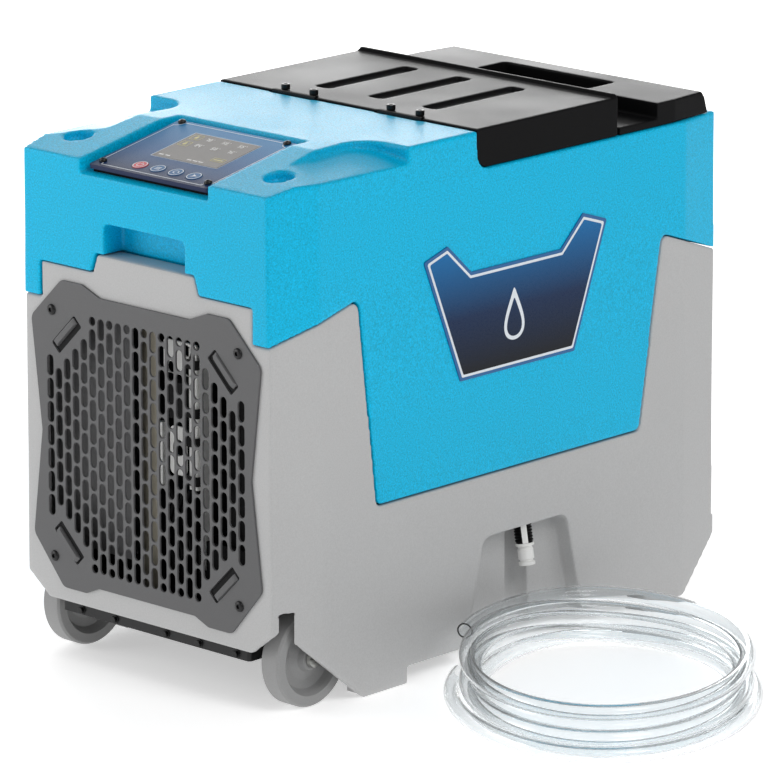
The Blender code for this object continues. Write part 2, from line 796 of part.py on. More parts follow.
def air_path():
    """Intake screen, the two coils with their end plate, the fan wall, fan and motor."""
    block("intake_screen", (-0.165, -0.3080, 0.1165), (-0.0480, -0.3050, 0.366), BLACK)
    block("evaporator_coil", (-0.165, -0.290, 0.1165), (-0.0480, -0.232, 0.385), ALUMINIUM)
    block("condenser_coil", (-0.165, -0.224, 0.1165), (-0.0480, -0.172, 0.385), ALUMINIUM)
    block("coil_end_plate", (-0.0475, -0.294, PAN_FLOOR), (-0.0455, -0.168, 0.395), GALVANISED)
    block("condensate_tray", (-0.128, -0.292, PAN_FLOOR), (-0.0480, -0.168, 0.1160), BLACK)
    hole = [
        (0.094 * math.cos(math.tau * step / 32), 0.215 + 0.094 * math.sin(math.tau * step / 32))
        for step in range(32)
    ]
    foot = [(-0.168, 0.0715), (-0.128, 0.0715), (-0.128, PAN_FLOOR), (0.128, PAN_FLOOR)]
    wall = foot + [(0.128, 0.0715), (0.168, 0.0715), (0.168, 0.405), (-0.168, 0.405)]
    prism("fan_wall", "Y", [wall, hole], 0.230, 0.234, GREY)
    rod("fan_motor", "Y", (0, 0.226, 0.215), 0.066, 0.042, STEEL, 20)
    block("motor_bracket", (-0.012, 0.150, PAN_FLOOR), (0.012, 0.1595, 0.300), STEEL)
    hub = rod("fan_impeller", "Y", (0, 0.262, 0.215), 0.034, 0.030, BLACK, 20)
    for index in range(6):
        blade = block(f"cut_blade_{index}", (0.024, -0.0012, -0.018), (0.088, 0.0012, 0.018))
        pitch = Matrix.Rotation(math.radians(52), 4, "X")
        about = Matrix.Rotation(math.tau * index / 6, 4, "Y")
        blade.matrix_world = Matrix.Translation((0, 0.245, 0.215)) @ about @ pitch
        combine(hub, blade, "UNION")


def refrigeration():
    can = [
        (0, 0.215),
        (0.030, 0.213),
        (0.052, 0.195),
        (0.056, 0.180),
        (0.056, 0.020),
        (0.050, 0),
        (0, 0),
    ]
    flask = [(0, 0.160), (0.014, 0.157), (0.020, 0.148), (0.020, 0.012), (0.014, 0), (0, 0)]
    turned("compressor", "Z", (0.070, -0.040, PAN_FLOOR), can, BLACK, 24)
    turned("accumulator", "Z", (-0.010, -0.085, PAN_FLOOR), flask, BLACK, 16)
    suction = [
        (-0.010, -0.085, 0.2150),
        (-0.010, -0.085, 0.310),
        (-0.010, -0.100, 0.335),
        (-0.010, -0.165, 0.345),
        (-0.018, -0.182, 0.345),
        (-0.0435, -0.187, 0.345),
    ]
    discharge = [
        (0.070, -0.040, 0.2700),
        (0.070, -0.040, 0.330),
        (0.050, -0.060, 0.365),
        (0.010, -0.165, 0.372),
        (-0.005, -0.200, 0.372),
        (-0.0435, -0.210, 0.372),
    ]
    tube("suction_pipe", suction, 0.006, COPPER)
    tube("discharge_pipe", discharge, 0.005, COPPER)
    rod("filter_drier", "Z", (-0.026, -0.130, PAN_FLOOR), 0.110, 0.011, COPPER, 14)
    rod("run_capacitor", "Z", (0.105, 0.070, PAN_FLOOR), 0.090, 0.020, STEEL, 16)
    block("control_board", (0.070, 0.110, PAN_FLOOR), (0.126, 0.114, 0.200), BOARD)


def condensate_pump():
    """Open-topped reservoir, the pump on its bracket wall and the float that switches it."""
    tank = block("pump_tank", (0.030, -0.292, PAN_FLOOR), (0.120, -0.190, 0.150), WHITE)
    combine(tank, block("cut_tank", (0.033, -0.289, 0.0573), (0.117, -0.193, 0.16)))
    block("condensate_pump", (0.085, -0.284, 0.0580), (0.114, -0.200, 0.190), BLACK)
    centre = (0.056, -0.240)
    ring = [(0.0036, 0.016), (0.015, 0.016), (0.015, 0), (0.0036, 0)]
    turned("pump_float", "Z", (*centre, 0.0580), ring, WHITE, 16, closed=True)
    rod("float_stem", "Z", (*centre, 0.0576), 0.100, 0.003, STEEL, 12)


# ---------------------------------------------------------------- hose


def hose_coil():
    """The outer form of the coiled drain hose: an oval ring lying on the floor."""
    turn = Matrix.Rotation(COIL_TURN, 2)

    def oval(shrink, steps):
        made = []
        for step in range(steps):
            angle = math.tau * step / steps
            x = (COIL_HALF[0] - shrink) * math.cos(angle)
            y = (COIL_HALF[1] - shrink) * math.sin(angle)
            made.append(tuple(Vector(COIL_CENTRE) + turn @ Vector((x, y))))
        return made

    return prism("hose_coil", "Z", [oval(0, 40), oval(COIL_WIDTH, 32)], 0, COIL_HEIGHT, VINYL)


upper_shell()
lower_shell()
grille()
control_panel()
storage_lid()
hinges()
rear_cover()
side_badges()
drain()
outlet_grille()
cord_gland()
wheels()
base_pan()
air_path()
refrigeration()
condensate_pump()
hose_coil()
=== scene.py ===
"""The looks of a portable restoration dehumidifier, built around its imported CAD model.

Metres, +Z up, in the CAD model's frame: X is the width, Y the length with the intake grille
facing -Y, and the drain hose lies coiled on the floor on the +X side.
"""

import math

import bmesh
import bpy
from mathutils import Matrix, Vector


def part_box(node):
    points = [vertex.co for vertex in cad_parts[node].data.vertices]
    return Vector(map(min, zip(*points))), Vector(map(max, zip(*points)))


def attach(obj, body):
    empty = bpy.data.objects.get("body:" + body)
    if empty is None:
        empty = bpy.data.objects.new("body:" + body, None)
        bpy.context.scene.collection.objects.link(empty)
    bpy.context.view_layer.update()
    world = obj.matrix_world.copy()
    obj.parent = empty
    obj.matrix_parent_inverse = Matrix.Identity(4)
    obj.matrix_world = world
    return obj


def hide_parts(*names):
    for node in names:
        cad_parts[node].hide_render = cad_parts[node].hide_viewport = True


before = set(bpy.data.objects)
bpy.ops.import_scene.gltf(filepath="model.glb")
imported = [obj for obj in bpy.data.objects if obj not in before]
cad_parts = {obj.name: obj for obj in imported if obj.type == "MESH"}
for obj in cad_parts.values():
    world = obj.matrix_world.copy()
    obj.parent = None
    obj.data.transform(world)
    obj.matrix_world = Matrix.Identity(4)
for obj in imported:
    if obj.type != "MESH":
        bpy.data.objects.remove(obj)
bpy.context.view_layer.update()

# Driving dimensions, the same as the CAD model's
HALF_WIDTH = 0.185
FRONT_Y = -0.3355
GREY_FRONT_Y = -0.334
REAR_Y = 0.333
CORNER = (0.012, 0.06)
DRAFT = 0.04
DRAFT_FROM = 0.1
WALL = 0.008
SEAM = 0.0016
DECK_Z = 0.5505
COVER_SEAT_Z = 0.511
LID_TOP_Z = 0.552
LID_Y = (-0.0455, 0.1685)
LID_HALF_X = 0.1795
REAR_TOP_Z = 0.536
REAR_STEP_Y = 0.23
PAD_SLOPE = 0.193
PAD_TOP_Y = -0.2195
PANEL_DROP = 0.006
PANEL_DEPTH = 0.0148
WHEEL_RADIUS = 0.05
WHEEL_CENTRE = (0.1555, -0.271)
DRAIN_Y = 0.034
OUTLET = (0.0, 0.215)
BADGE_Z = 0.37
HINGE_X = (0.043, 0.105)
HINGE_BOLT_Y = -0.0365
REST_GAP = 0.0006  # what a cover stands clear of the shell that it rests on
SIDE_SEAM = [
    (-0.36, 0.371), (-0.22, 0.409), (-0.195, 0.194), (0.202, 0.194), (0.237, 0.397), (0.36, 0.355),
]
SEAM_CORNER = 0.008
TONGUE = [(0.1485, 0.415), (0.075, 0.415), (0.0685, 0.4345)]
SIDES = ((-1, "left"), (1, "right"))

# How far the cutting blocks reach past the machine: to both sides, ahead, above and beyond it
ACROSS = (-0.2, 0.2)
AHEAD = -0.345
ABOVE = 0.6
BEYOND = 0.36

# Voxel size, smoothing passes and share of faces kept, for parts with soft moulded edges
SHELL_EDGES = (0.0018, 4, 0.14)
COVER_EDGES = (0.0013, 3, 0.2)
SHARP_EDGE = math.radians(35)

AXES = {
    "X": Matrix(((0, 0, 1), (1, 0, 0), (0, 1, 0))).to_4x4(),
    "Y": Matrix(((1, 0, 0), (0, 0, -1), (0, 1, 0))).to_4x4(), "Z": Matrix.Identity(4),
}


# -------- meshes


def mesh_of(bm):
    mesh = bpy.data.meshes.new("mesh")
    bmesh.ops.recalc_face_normals(bm, faces=bm.faces)
    bm.to_mesh(mesh)
    bm.free()
    return mesh


def polar(radius, turn):
    return radius * math.cos(turn), radius * math.sin(turn)


def loft(levels, ring=False):
    """A closed mesh through loops of equally many points, with flat ends or bent into a ring."""
    bm = bmesh.new()
    loops = [[bm.verts.new(point) for point in level] for level in levels]
    for lower, upper in zip(loops, loops[1:] + loops[:1] * ring):
        for index, corner in enumerate(lower):
            after = (index + 1) % len(lower)
            bm.faces.new((corner, lower[after], upper[after], upper[index]))
    if not ring:
        bm.faces.new(loops[0])
        bm.faces.new(loops[-1])
    return mesh_of(bm)


def at_height(outline, height):
    return [(x, y, height) for x, y in outline]


def prism(axis, outline, low, high):
    """A flat outline extruded along an axis: (y, z) for X, (x, z) for Y and (x, y) for Z."""
    if axis == "Y":
        low, high = -high, -low
    return moved(loft([at_height(outline, low), at_height(outline, high)]), AXES[axis])


def block(low, high):
    return prism("Z", rectangle(low[0], high[0], low[1], high[1]), low[2], high[2])


def soft_block(axis, box, radius, low, high, steps=6):
    """A rectangle with rounded corners, extruded along an axis as by prism."""
    return prism(axis, soft_rectangle(*box, radius, steps), low, high)


def lathe(profile, steps=48, ring=False):
    """A profile of (radius, height) points turned about Z."""
    bm = bmesh.new()
    loops = []
    for radius, height in profile:
        spots = at_height(circle(radius, steps) if radius else [(0, 0)], height)
        loops.append([bm.verts.new(spot) for spot in spots])
    for upper, lower in zip(loops, loops[1:] + loops[:1] * ring):
        for step in range(steps):
            corners = [upper[place % len(upper)] for place in (step, step + 1)]
            corners += [lower[place % len(lower)] for place in (step + 1, step)]
            bm.faces.new(list(dict.fromkeys(corners)))
    return mesh_of(bm)


def rod(axis, start, length, radius, steps=32):
    """A cylinder from start along an axis; on Y it runs towards -Y."""
    mesh = lathe([(0, length), (radius, length), (radius, 0), (0, 0)], steps)
    return moved(mesh, Matrix.Translation(start) @ AXES[axis])


def sweep(points, radius, sides, bore=0.0):
    """A round tube along a path; with a bore it is hollow and open at both ends."""
    across = Vector((0, 0, 1))
    outer, inner = [], []
    for index, point in enumerate(points):
        ahead = points[min(index + 1, len(points) - 1)]
        behind = points[max(index - 1, 0)]
        along = (ahead - behind).normalized()
        across = (across - along * across.dot(along)).normalized()
        third = along.cross(across)
        rays = [across * x + third * y for x, y in circle(1, sides)]
        outer.append([point + ray * radius for ray in rays])
        inner.append([point + ray * bore for ray in rays])
    return loft(outer + inner[::-1], ring=True) if bore else loft(outer)


def merged(meshes):
    bm = bmesh.new()
    for mesh in meshes:
        bm.from_mesh(mesh)
    return mesh_of(bm)


def moved(mesh, *matrices):
    for matrix in matrices:
        mesh.transform(matrix)
    return mesh


def shifted(mesh, x, y, z):
    return moved(mesh, Matrix.Translation((x, y, z)))


def spin(turn):
    return Matrix.Rotation(turn, 4, "Z")


# -------- outlines


def rectangle(x_low, x_high, y_low, y_high):
    return [(x_low, y_low), (x_high, y_low), (x_high, y_high), (x_low, y_high)]


def mirrored(half):
    """A closed outline from its right half, listed from bottom to top."""
    return half + [(-x, z) for x, z in reversed(half)]


def rounded(points, radii, steps=6):
    """An outline whose corners are rounded, each by its own radius."""
    made = []
    for index, radius in enumerate(radii):
        here = Vector(points[index])
        if radius == 0:
            made.append(tuple(here))
            continue
        before = (Vector(points[index - 1]) - here).normalized()
        after = (Vector(points[(index + 1) % len(points)]) - here).normalized()
        half = before.angle(after) / 2
        centre = here + (before + after).normalized() * (radius / math.sin(half))
        start = here + before * (radius / math.tan(half)) - centre
        turn = -1 if before.x * after.y - before.y * after.x > 0 else 1
        sweep_angle = turn * (math.pi - 2 * half)
        for step in range(steps + 1):
            made.append(tuple(centre + Matrix.Rotation(sweep_angle * step / steps, 2) @ start))
    return made


def soft_rectangle(x_low, x_high, y_low, y_high, radius, steps=6):
    return rounded(rectangle(x_low, x_high, y_low, y_high), [radius] * 4, steps)


def inset(outline, distance):
    """The outline moved inwards by a distance, with mitred corners."""
    points = [Vector(point) for point in outline]
    area = sum(a.x * b.y - a.y * b.x for a, b in zip(points, points[1:] + points[:1]))
    inwards = math.copysign(distance, area)
    made = []
    for index, here in enumerate(points):
        before = (here - points[index - 1]).normalized()
        after = (points[(index + 1) % len(points)] - here).normalized()
        first = Vector((-before.y, before.x))
        second = Vector((-after.y, after.x))
        made.append(tuple(here + (first + second) * inwards / (1 + first.dot(second))))
    return made


def plate(outline, thickness, edge):
    """A flat plate on Z = 0 whose upper edge is bevelled."""
    rise = edge * 0.3
    levels = ((0, 0), (0, thickness - edge), (rise, thickness - rise), (edge, thickness))
    return loft([at_height(inset(outline, depth), height) for depth, height in levels])


def line_ring(outline, width, low, high):
    """A closed flat line that follows an outline just inside it."""
    inner = inset(outline, width)
    levels = ((outline, low), (outline, high), (inner, high), (inner, low))
    return loft([at_height(*level) for level in levels], ring=True)


def circle(radius, steps, centre=(0, 0)):
    spots = [polar(radius, math.tau * step / steps) for step in range(steps)]
    return [(centre[0] + x, centre[1] + y) for x, y in spots]


# -------- objects


def temporary(mesh):
    obj = bpy.data.objects.new("temporary", mesh)
    bpy.context.scene.collection.objects.link(obj)
    return obj


def applied(obj):
    """The object's mesh with its modifiers applied; the object is removed."""
    graph = bpy.context.evaluated_depsgraph_get()
    mesh = bpy.data.meshes.new_from_object(obj.evaluated_get(graph))
    bpy.data.objects.remove(obj)
    return mesh


def combined(mesh, others, operation="DIFFERENCE"):
    """The mesh cut, joined or trimmed by each of the others."""
    obj = temporary(mesh)
    helpers = [temporary(other) for other in others]
    for helper in helpers:
        boolean = obj.modifiers.new("boolean", "BOOLEAN")
        boolean.operation = operation
        boolean.solver = "MANIFOLD"
        boolean.object = helper
    made = applied(obj)
    for helper in helpers:
        bpy.data.objects.remove(helper)
    return made


def softened(mesh, voxel, passes, keep):
    """The mesh with edges as moulding rounds them: a fine even mesh, relaxed and then thinned."""
    obj = temporary(mesh)
    remesh = obj.modifiers.new("remesh", "REMESH")
    remesh.mode = "VOXEL"
    remesh.voxel_size = voxel * 1
    smooth = obj.modifiers.new("smooth", "SMOOTH")
    smooth.factor = 0.5
    smooth.iterations = passes
    thin = obj.modifiers.new("thin", "DECIMATE")
    thin.ratio = keep * 1
    return applied(obj)


def piece(name, mesh, look, body="chassis", node=None, at=None):
    """A visible piece of the machine that rides on a body and may stand for a CAD node."""
    mesh.name = name
    obj = bpy.data.objects.new(name, mesh)
    bpy.context.scene.collection.objects.link(obj)
    mesh.materials.clear()
    mesh.materials.append(look)
    mesh.shade_smooth()
    mesh.set_sharp_from_angle(angle=SHARP_EDGE)
    if at:
        obj.matrix_world = at
    weighted = obj.modifiers.new("normals", "WEIGHTED_NORMAL")
    weighted.keep_sharp = True
    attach(obj, body)
    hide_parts(*([node] if node else []))
    return obj


# -------- materials


def srgb(red, green, blue):
    """A linear colour from the usual 0 to 255 values."""

    def linear(value):
        share = value / 255
        return share / 12.92 if share <= 0.04045 else ((share + 0.055) / 1.055) ** 2.4

    return (linear(red), linear(green), linear(blue))


def scaled(colour, factor):
    return [min(channel * factor, 1) for channel in colour]


class Surface:
    """Small helper around a material's node tree."""

    def __init__(self, slot, name=None):
        self.material = bpy.data.materials.new(name or slot)
        self.material["slot"] = slot
        self.material.use_nodes = True
        self.tree = self.material.node_tree
        self.shader = self.tree.nodes["Principled BSDF"]
        self.place = self.tree.nodes.new("ShaderNodeTexCoord").outputs["Object"]

    def feed(self, node, **values):
        """Each input set to its value, or linked where the value is another node's output."""
        for label, value in values.items():
            socket = node.inputs[label.replace("_", " ")]
            if isinstance(value, bpy.types.NodeSocket):
                self.tree.links.new(value, socket)
            else:
                socket.default_value = value

    def node(self, kind, output, **values):
        """One output of a new node, whose inputs are fed."""
        made = self.tree.nodes.new(f"ShaderNode{kind}")
        self.feed(made, **values)
        return made.outputs[output]

    def noise(self, scale, detail=2.0, stretch=None):
        place = self.place
        if stretch:
            place = self.node("Mapping", "Vector", Vector=place, Scale=stretch)
        return self.node("TexNoise", "Fac", Vector=place, Scale=scale, Detail=detail)

    def ramp(self, factor, stops):
        ramp = self.tree.nodes.new("ShaderNodeValToRGB")
        elements = ramp.color_ramp.elements
        while len(elements) < len(stops):
            elements.new(0.5)
        for element, (position, colour) in zip(elements, stops):
            element.position = position
            element.color = (*colour, 1)
        self.feed(ramp, Fac=factor)
        return ramp.outputs["Color"]

    def tint(self, factor, dark, light):
        """A colour that varies with a texture."""
        return self.ramp(factor, [(0.3, dark), (0.7, light)])

    def multiply(self, first, second):
        mix = self.tree.nodes.new("ShaderNodeMix")
        mix.data_type = "RGBA"
        mix.blend_type = "MULTIPLY"
        self.feed(mix, Factor=1, A=first, B=second)
        return mix.outputs["Result"]

    def finish(self, uneven, roughness, vary, grain, depth, strength, **values):
        """The material, with a roughness that varies with one texture and a grain from another."""
        rough = self.node(
            "MapRange", "Result", Value=uneven, From_Min=0.35, From_Max=0.65, To_Min=roughness - vary,
            To_Max=roughness + vary,
        )
        normal = self.node("Bump", "Normal", Height=grain, Distance=depth, Strength=strength)
        self.feed(self.shader, Roughness=rough, Normal=normal, **values)
        return self.material


def moulded(slot, rgb, roughness, speckle, grain, depth, name=None, metallic=0.0, gloss=0.5):
    """Moulded plastic or coated metal: speckled grain, slow colour drift and uneven gloss."""
    look = Surface(slot, name)
    colour = srgb(*rgb)
    fine = look.noise(grain, 3)
    broad = look.noise(7)
    mottled = look.tint(fine, scaled(colour, 1 - speckle), scaled(colour, 1 + speckle))
    drifting = look.multiply(mottled, look.tint(broad, scaled(PURE, 0.97), PURE))
    return look.finish(
        broad, roughness, 0.04, fine, depth, 0.6, Base_Color=drifting, Metallic=metallic,
        Specular_IOR_Level=gloss,
    )


def brushed(slot, rgb, roughness, stretch):
    """Bare metal with fine streaks along one direction."""
    look = Surface(slot)
    streaks = look.noise(60, 4, stretch)
    tint = look.tint(streaks, scaled(srgb(*rgb), 0.85), scaled(srgb(*rgb), 1.08))
    return look.finish(streaks, roughness, 0.08, streaks, 0.0001, 0.3, Base_Color=tint, Metallic=1.0)


def graded(slot, stops, axis, low, high, roughness):
    """A printed film whose colour changes along one of its own axes, under a fine satin grain."""
    look = Surface(slot)
    along = look.node("SeparateXYZ", axis, Vector=look.place)
    share = look.node("MapRange", "Result", Value=along, From_Min=low, From_Max=high)
    printed = look.ramp(share, [(spot, srgb(*rgb)) for spot, rgb in stops])
    fine = look.noise(1400, 2)
    colour = look.multiply(printed, look.tint(fine, scaled(PURE, 0.94), PURE))
    return look.finish(
        fine, roughness, 0.05, fine, 0.00005, 0.4, Base_Color=colour, Specular_IOR_Level=0.2,
    )


def clear_vinyl():
    """Clear flexible tube with faint drawing lines."""
    look = Surface("clear_vinyl")
    streaks = look.noise(60, 2)
    tint = look.tint(streaks, (0.935, 0.955, 0.965), (0.965, 0.98, 0.985))
    return look.finish(
        streaks, 0.04, 0.02, streaks, 0.0002, 0.2, Base_Color=tint, Transmission_Weight=1.0, IOR=1.35,
    )


PURE = (1, 1, 1)
BLUE = moulded("blue_plastic", (0, 184, 227), 0.34, 0.24, 620, 0.0006, gloss=0.18)
GREY = moulded("grey_plastic", (188, 188, 188), 0.5, 0.05, 620, 0.00025, gloss=0.2)
BLACK = moulded("black_plastic", (18, 18, 19), 0.34, 0.15, 1300, 0.0001, gloss=0.05)
PLATE = moulded("coated_steel", (96, 96, 97), 0.42, 0.06, 1500, 0.0001, gloss=0.3)
WHEEL_GREY = moulded("wheel_plastic", (150, 150, 150), 0.5, 0.04, 900, 0.0001, gloss=0.3)
FASTENER = moulded("black_steel", (18, 18, 19), 0.32, 0.2, 1800, 0.00005, metallic=0.3)
WHITE = moulded("white_plastic", (240, 240, 238), 0.38, 0.02, 900, 0.00005)
RED = moulded("red_plastic", (214, 52, 66), 0.35, 0.03, 1200, 0.00004)
BOARD = moulded("circuit_board", (34, 92, 56), 0.45, 0.15, 300, 0.0001)
STEEL = brushed("zinc_steel", (190, 190, 186), 0.35, (1, 1, 14))
GALVANISED = brushed("galvanised", (150, 145, 132), 0.5, (6, 6, 1))
ALUMINIUM = brushed("aluminium", (150, 152, 155), 0.45, (8, 8, 1))
COPPER = brushed("copper", (196, 128, 96), 0.3, (3, 3, 10))
VINYL = clear_vinyl()
INK = moulded("panel_overlay", (226, 232, 238), 0.4, 0.02, 1500, 0.00002, name="white_ink")
OVERLAY = graded(
    "panel_overlay", [(0.0, (30, 42, 78)), (0.4, (36, 92, 146)), (1.0, (56, 138, 192))], "Y", -0.068,
    0.062, 0.32,
)
SCREEN = moulded("display_window", (112, 109, 105), 0.18, 0.03, 1200, 0.00002)
DIGITS = moulded("display_window", (240, 240, 238), 0.3, 0.02, 1500, 0.00001, name="display_digits")
AMBER = moulded("display_window", (206, 196, 120), 0.3, 0.02, 1500, 0.00001, name="display_frames")
BADGE = graded(
    "badge", [(0.0, (8, 12, 20)), (0.45, (8, 40, 78)), (1.0, (12, 108, 170))], "Z", 0.305, 0.435, 0.3,
)
BADGE_EDGE = moulded("badge", (2, 92, 152), 0.3, 0.04, 1400, 0.00004, name="badge_edge")
# Matt black for the clips and relay, and for the thin sheets that are painted shade behind the tab
# windows, on the coil end plate and behind the grille's right side.
MATT_BLACK_AND_SHADE = moulded("black_plastic", (16, 16, 17), 0.9, 0.3, 500, 0.0004, name="matt_black_and_painted_shade")


# -------- camera, light and floor

CAMERA_AZIMUTH = 43.21
CAMERA_ELEVATION = 14.64
CAMERA_AT = (4.1597, -4.4174, 1.8345)
CAMERA_LENS = 284.7
SKY = 0.38
FLOOR_GLOW = 0.45
LIT_POINT = Vector((0, 0, 0.25))


def camera():
    lens = bpy.data.cameras.new("camera")
    lens.lens = CAMERA_LENS
    lens.clip_end = 50
    obj = bpy.data.objects.new("camera", lens)
    obj.location = CAMERA_AT
    obj.rotation_euler = (math.radians(90 - CAMERA_ELEVATION), 0, math.radians(CAMERA_AZIMUTH))
    bpy.context.scene.collection.objects.link(obj)
    bpy.context.scene.camera = obj


def soft_light(name, azimuth, elevation, distance, size, radiance):
    """A wide light that faces the machine, placed round from +X and up from the floor."""
    lamp = bpy.data.lights.new(name, "AREA")
    lamp.shape = "RECTANGLE"
    lamp.size, lamp.size_y = size
    lamp.energy = radiance * math.pi * size[0] * size[1]
    obj = bpy.data.objects.new(name, lamp)
    turn, rise = math.radians(azimuth), math.radians(elevation)
    away = Vector((*polar(math.cos(rise), turn), math.sin(rise)))
    obj.location = LIT_POINT + away * distance
    obj.rotation_euler = (-away).to_track_quat("-Z", "Y").to_euler()
    bpy.context.scene.collection.objects.link(obj)


def studio():
    """White surroundings to the camera, a dimmer sky for the light, and a glare from behind."""
    world = bpy.data.worlds.new("studio")
    world.use_nodes = True
    tree = world.node_tree
    seen = tree.nodes["Background"]
    sky = tree.nodes.new("ShaderNodeBackground")
    for shader, strength in ((seen, 1.0), (sky, SKY)):
        shader.inputs["Color"].default_value = (1, 1, 1, 1)
        shader.inputs["Strength"].default_value = strength
    path = tree.nodes.new("ShaderNodeLightPath")
    mix = tree.nodes.new("ShaderNodeMixShader")
    tree.links.new(path.outputs["Is Camera Ray"], mix.inputs["Fac"])
    tree.links.new(sky.outputs["Background"], mix.inputs[1])
    tree.links.new(seen.outputs["Background"], mix.inputs[2])
    tree.links.new(mix.outputs["Shader"], tree.nodes["World Output"].inputs["Surface"])
    bpy.context.scene.world = world
    bpy.context.scene.view_settings.view_transform = "Standard"
    soft_light("glare", 138, 9.2, 4.0, (3.4, 1.7), 4.6)
    soft_light("rim", 140, 34, 4.0, (2.6, 1.4), 0.9)
    soft_light("key", 227, 14, 3.0, (1.8, 1.4), 3.2)
    soft_light("side", 348, 42, 3.5, (1.6, 1.6), 4.2)
    floor = temporary(prism("Z", rectangle(-6, 6, -6, 6), -0.02, -0.0002))
    floor.name = "floor"
    look = Surface("white_plastic", "floor_paint")
    paint = look.tint(look.noise(40), scaled(PURE, 0.925), scaled(PURE, 0.935))
    look.feed(
        look.shader, Base_Color=paint, Roughness=0.8, Specular_IOR_Level=0.1, Emission_Color=(1, 1, 1, 1),
        Emission_Strength=FLOOR_GLOW,
    )
    floor.data.materials.append(look.material)


# -------- drain hose

HOSE_RADIUS = 0.008
HOSE_BORE = 0.0063
COIL_CENTRE = Vector((0.366, -0.0545))
COIL_HALF = (0.202, 0.1475)
COIL_TURN = math.radians(-51.9)
TURNS = [(0.0, 0.008), (0.0165, 0.008), (0.0082, 0.0222), (0.0155, 0.0355), (0.008, 0.0485)]
CROSSING = 223  # where each turn climbs onto the next, nearest the machine
CLIMB = 90  # how many degrees round a climb takes
HUMP = 0.0065  # how much a climbing turn rises clear of the one that it crosses
HUMP_REACH = 70  # over how many degrees either side of the crossing
FLOOR_END = 255  # where the end on the floor lies, round the oval
SPLAY = 0.009  # how far that end stands out from the coil
SPLAY_REACH = 75  # over how many degrees it comes in to the coil
OPEN_END = (-0.004, 0.052)  # how deep and how high the open end lies
OPEN_SWING = (140, 75)  # from how far round the last turn its depth changes, and over how far
OPEN_RISE = (150, 60)  # the same for its height


def smooth_step(share):
    share = min(max(share, 0), 1)
    return share * share * (3 - 2 * share)


def oval(angle):
    x = COIL_HALF[0] * math.cos(angle)
    y = COIL_HALF[1] * math.sin(angle)
    return COIL_CENTRE + Matrix.Rotation(COIL_TURN, 2) @ Vector((x, y))


def turn_at(degrees):
    """How far inside the oval the strand lies, and how high, after so many degrees."""
    depth, height = TURNS[0]
    for index, (next_depth, next_height) in enumerate(TURNS[1:], 1):
        swing = degrees - CROSSING - 360 * index
        share = smooth_step(swing / CLIMB + 0.5)
        depth += (next_depth - depth) * share
        height += (next_height - height) * share
        if index > 1 and abs(swing) < HUMP_REACH:
            height += HUMP * (1 + math.cos(math.pi * swing / HUMP_REACH)) / 2
    depth -= SPLAY * (1 - smooth_step((degrees - FLOOR_END) / SPLAY_REACH))
    last = degrees - 360 * len(TURNS)
    depth += (OPEN_END[0] - depth) * smooth_step((last - OPEN_SWING[0]) / OPEN_SWING[1])
    height += (OPEN_END[1] - height) * smooth_step((last - OPEN_RISE[0]) / OPEN_RISE[1])
    return depth, height


def hose():
    """Five turns of clear hose, from the open end beside the machine to the end on the floor."""
    route = []
    for degrees in range(FLOOR_END + 360 * len(TURNS), FLOOR_END - 1, -5):
        angle = math.radians(degrees)
        along = (oval(angle + 0.01) - oval(angle - 0.01)).normalized()
        inwards = Vector((-along.y, along.x))
        depth, height = turn_at(degrees)
        route.append(Vector((*(oval(angle) + inwards * depth), height)))
    mesh = sweep(route, HOSE_RADIUS, 20, HOSE_BORE)
    tube = piece("drain_hose", mesh, VINYL, node="hose_coil")
    tube.visible_shadow = False


# -------- shells


def body(front, rear, low, high, depth=0.0):
    """The machine's plan outline as a solid that narrows upwards, a wall's depth inside it."""
    side = HALF_WIDTH - depth
    corner = HALF_WIDTH - CORNER[0] - depth * 1.3
    facet = CORNER[1] - depth * 0.3
    front, rear = front + depth, rear - depth
    outline = [
        (-corner, front), (corner, front), (side, front + facet), (side, rear - facet), (corner, rear),
        (-corner, rear), (-side, rear - facet), (-side, front + facet),
    ]
    levels = []
    for height in sorted({low, max(low, DRAFT_FROM), high}):
        narrow = 1 - DRAFT * max(height - DRAFT_FROM, 0)
        levels.append([(x * narrow, y, height) for x, y in outline])
    return loft(levels)


def pad_height(y):
    return DECK_Z + PAD_SLOPE * (y - PAD_TOP_Y)


def on_side(side, inner, outer):
    """Two distances from the middle as X values on one side, in rising order."""
    return sorted((side * inner, side * outer))


def side_block(side, inner, outer, front, rear, bottom, top):
    """A block on one side, whose inner and outer faces are so far from the middle."""
    near, far = on_side(side, inner, outer)
    return block((near, front, bottom), (far, rear, top))


def side_seam(offset):
    """The side seam moved into the upper shell, or into the lower one when negative."""
    along = (0, 1, 1, -1, -1, 0)
    return [(y + offset * way, z + offset) for (y, z), way in zip(SIDE_SEAM, along)]


def beyond_seam(offset, far):
    """Everything on the far side of the seam, down or up to a height."""
    outline = side_seam(offset) + [(BEYOND, far), (-BEYOND, far)]
    return prism("X", rounded(outline, [0, *[SEAM_CORNER] * 4, 0, 0, 0]), *ACROSS)


def tongue_outline(offset, base):
    return mirrored([(TONGUE[0][0] + offset, base), *[(x + offset, z + offset) for x, z in TONGUE]])


def scallop(side):
    """The scooped hand hold beside the pad: a round-cornered floor that slopes outwards."""
    outer = HALF_WIDTH + 0.01
    corners = [(0.13, -0.292), (outer, -0.3), (outer, -0.146), (0.12, -0.148)]
    plan = [(side * x, y) for x, y in rounded(corners, [0.03, 0, 0, 0.03], 8)]
    floor = [(x, y, 0.534 + 0.16 * (0.18 - abs(x))) for x, y in plan]
    return loft([floor, at_height(plan, ABOVE)])


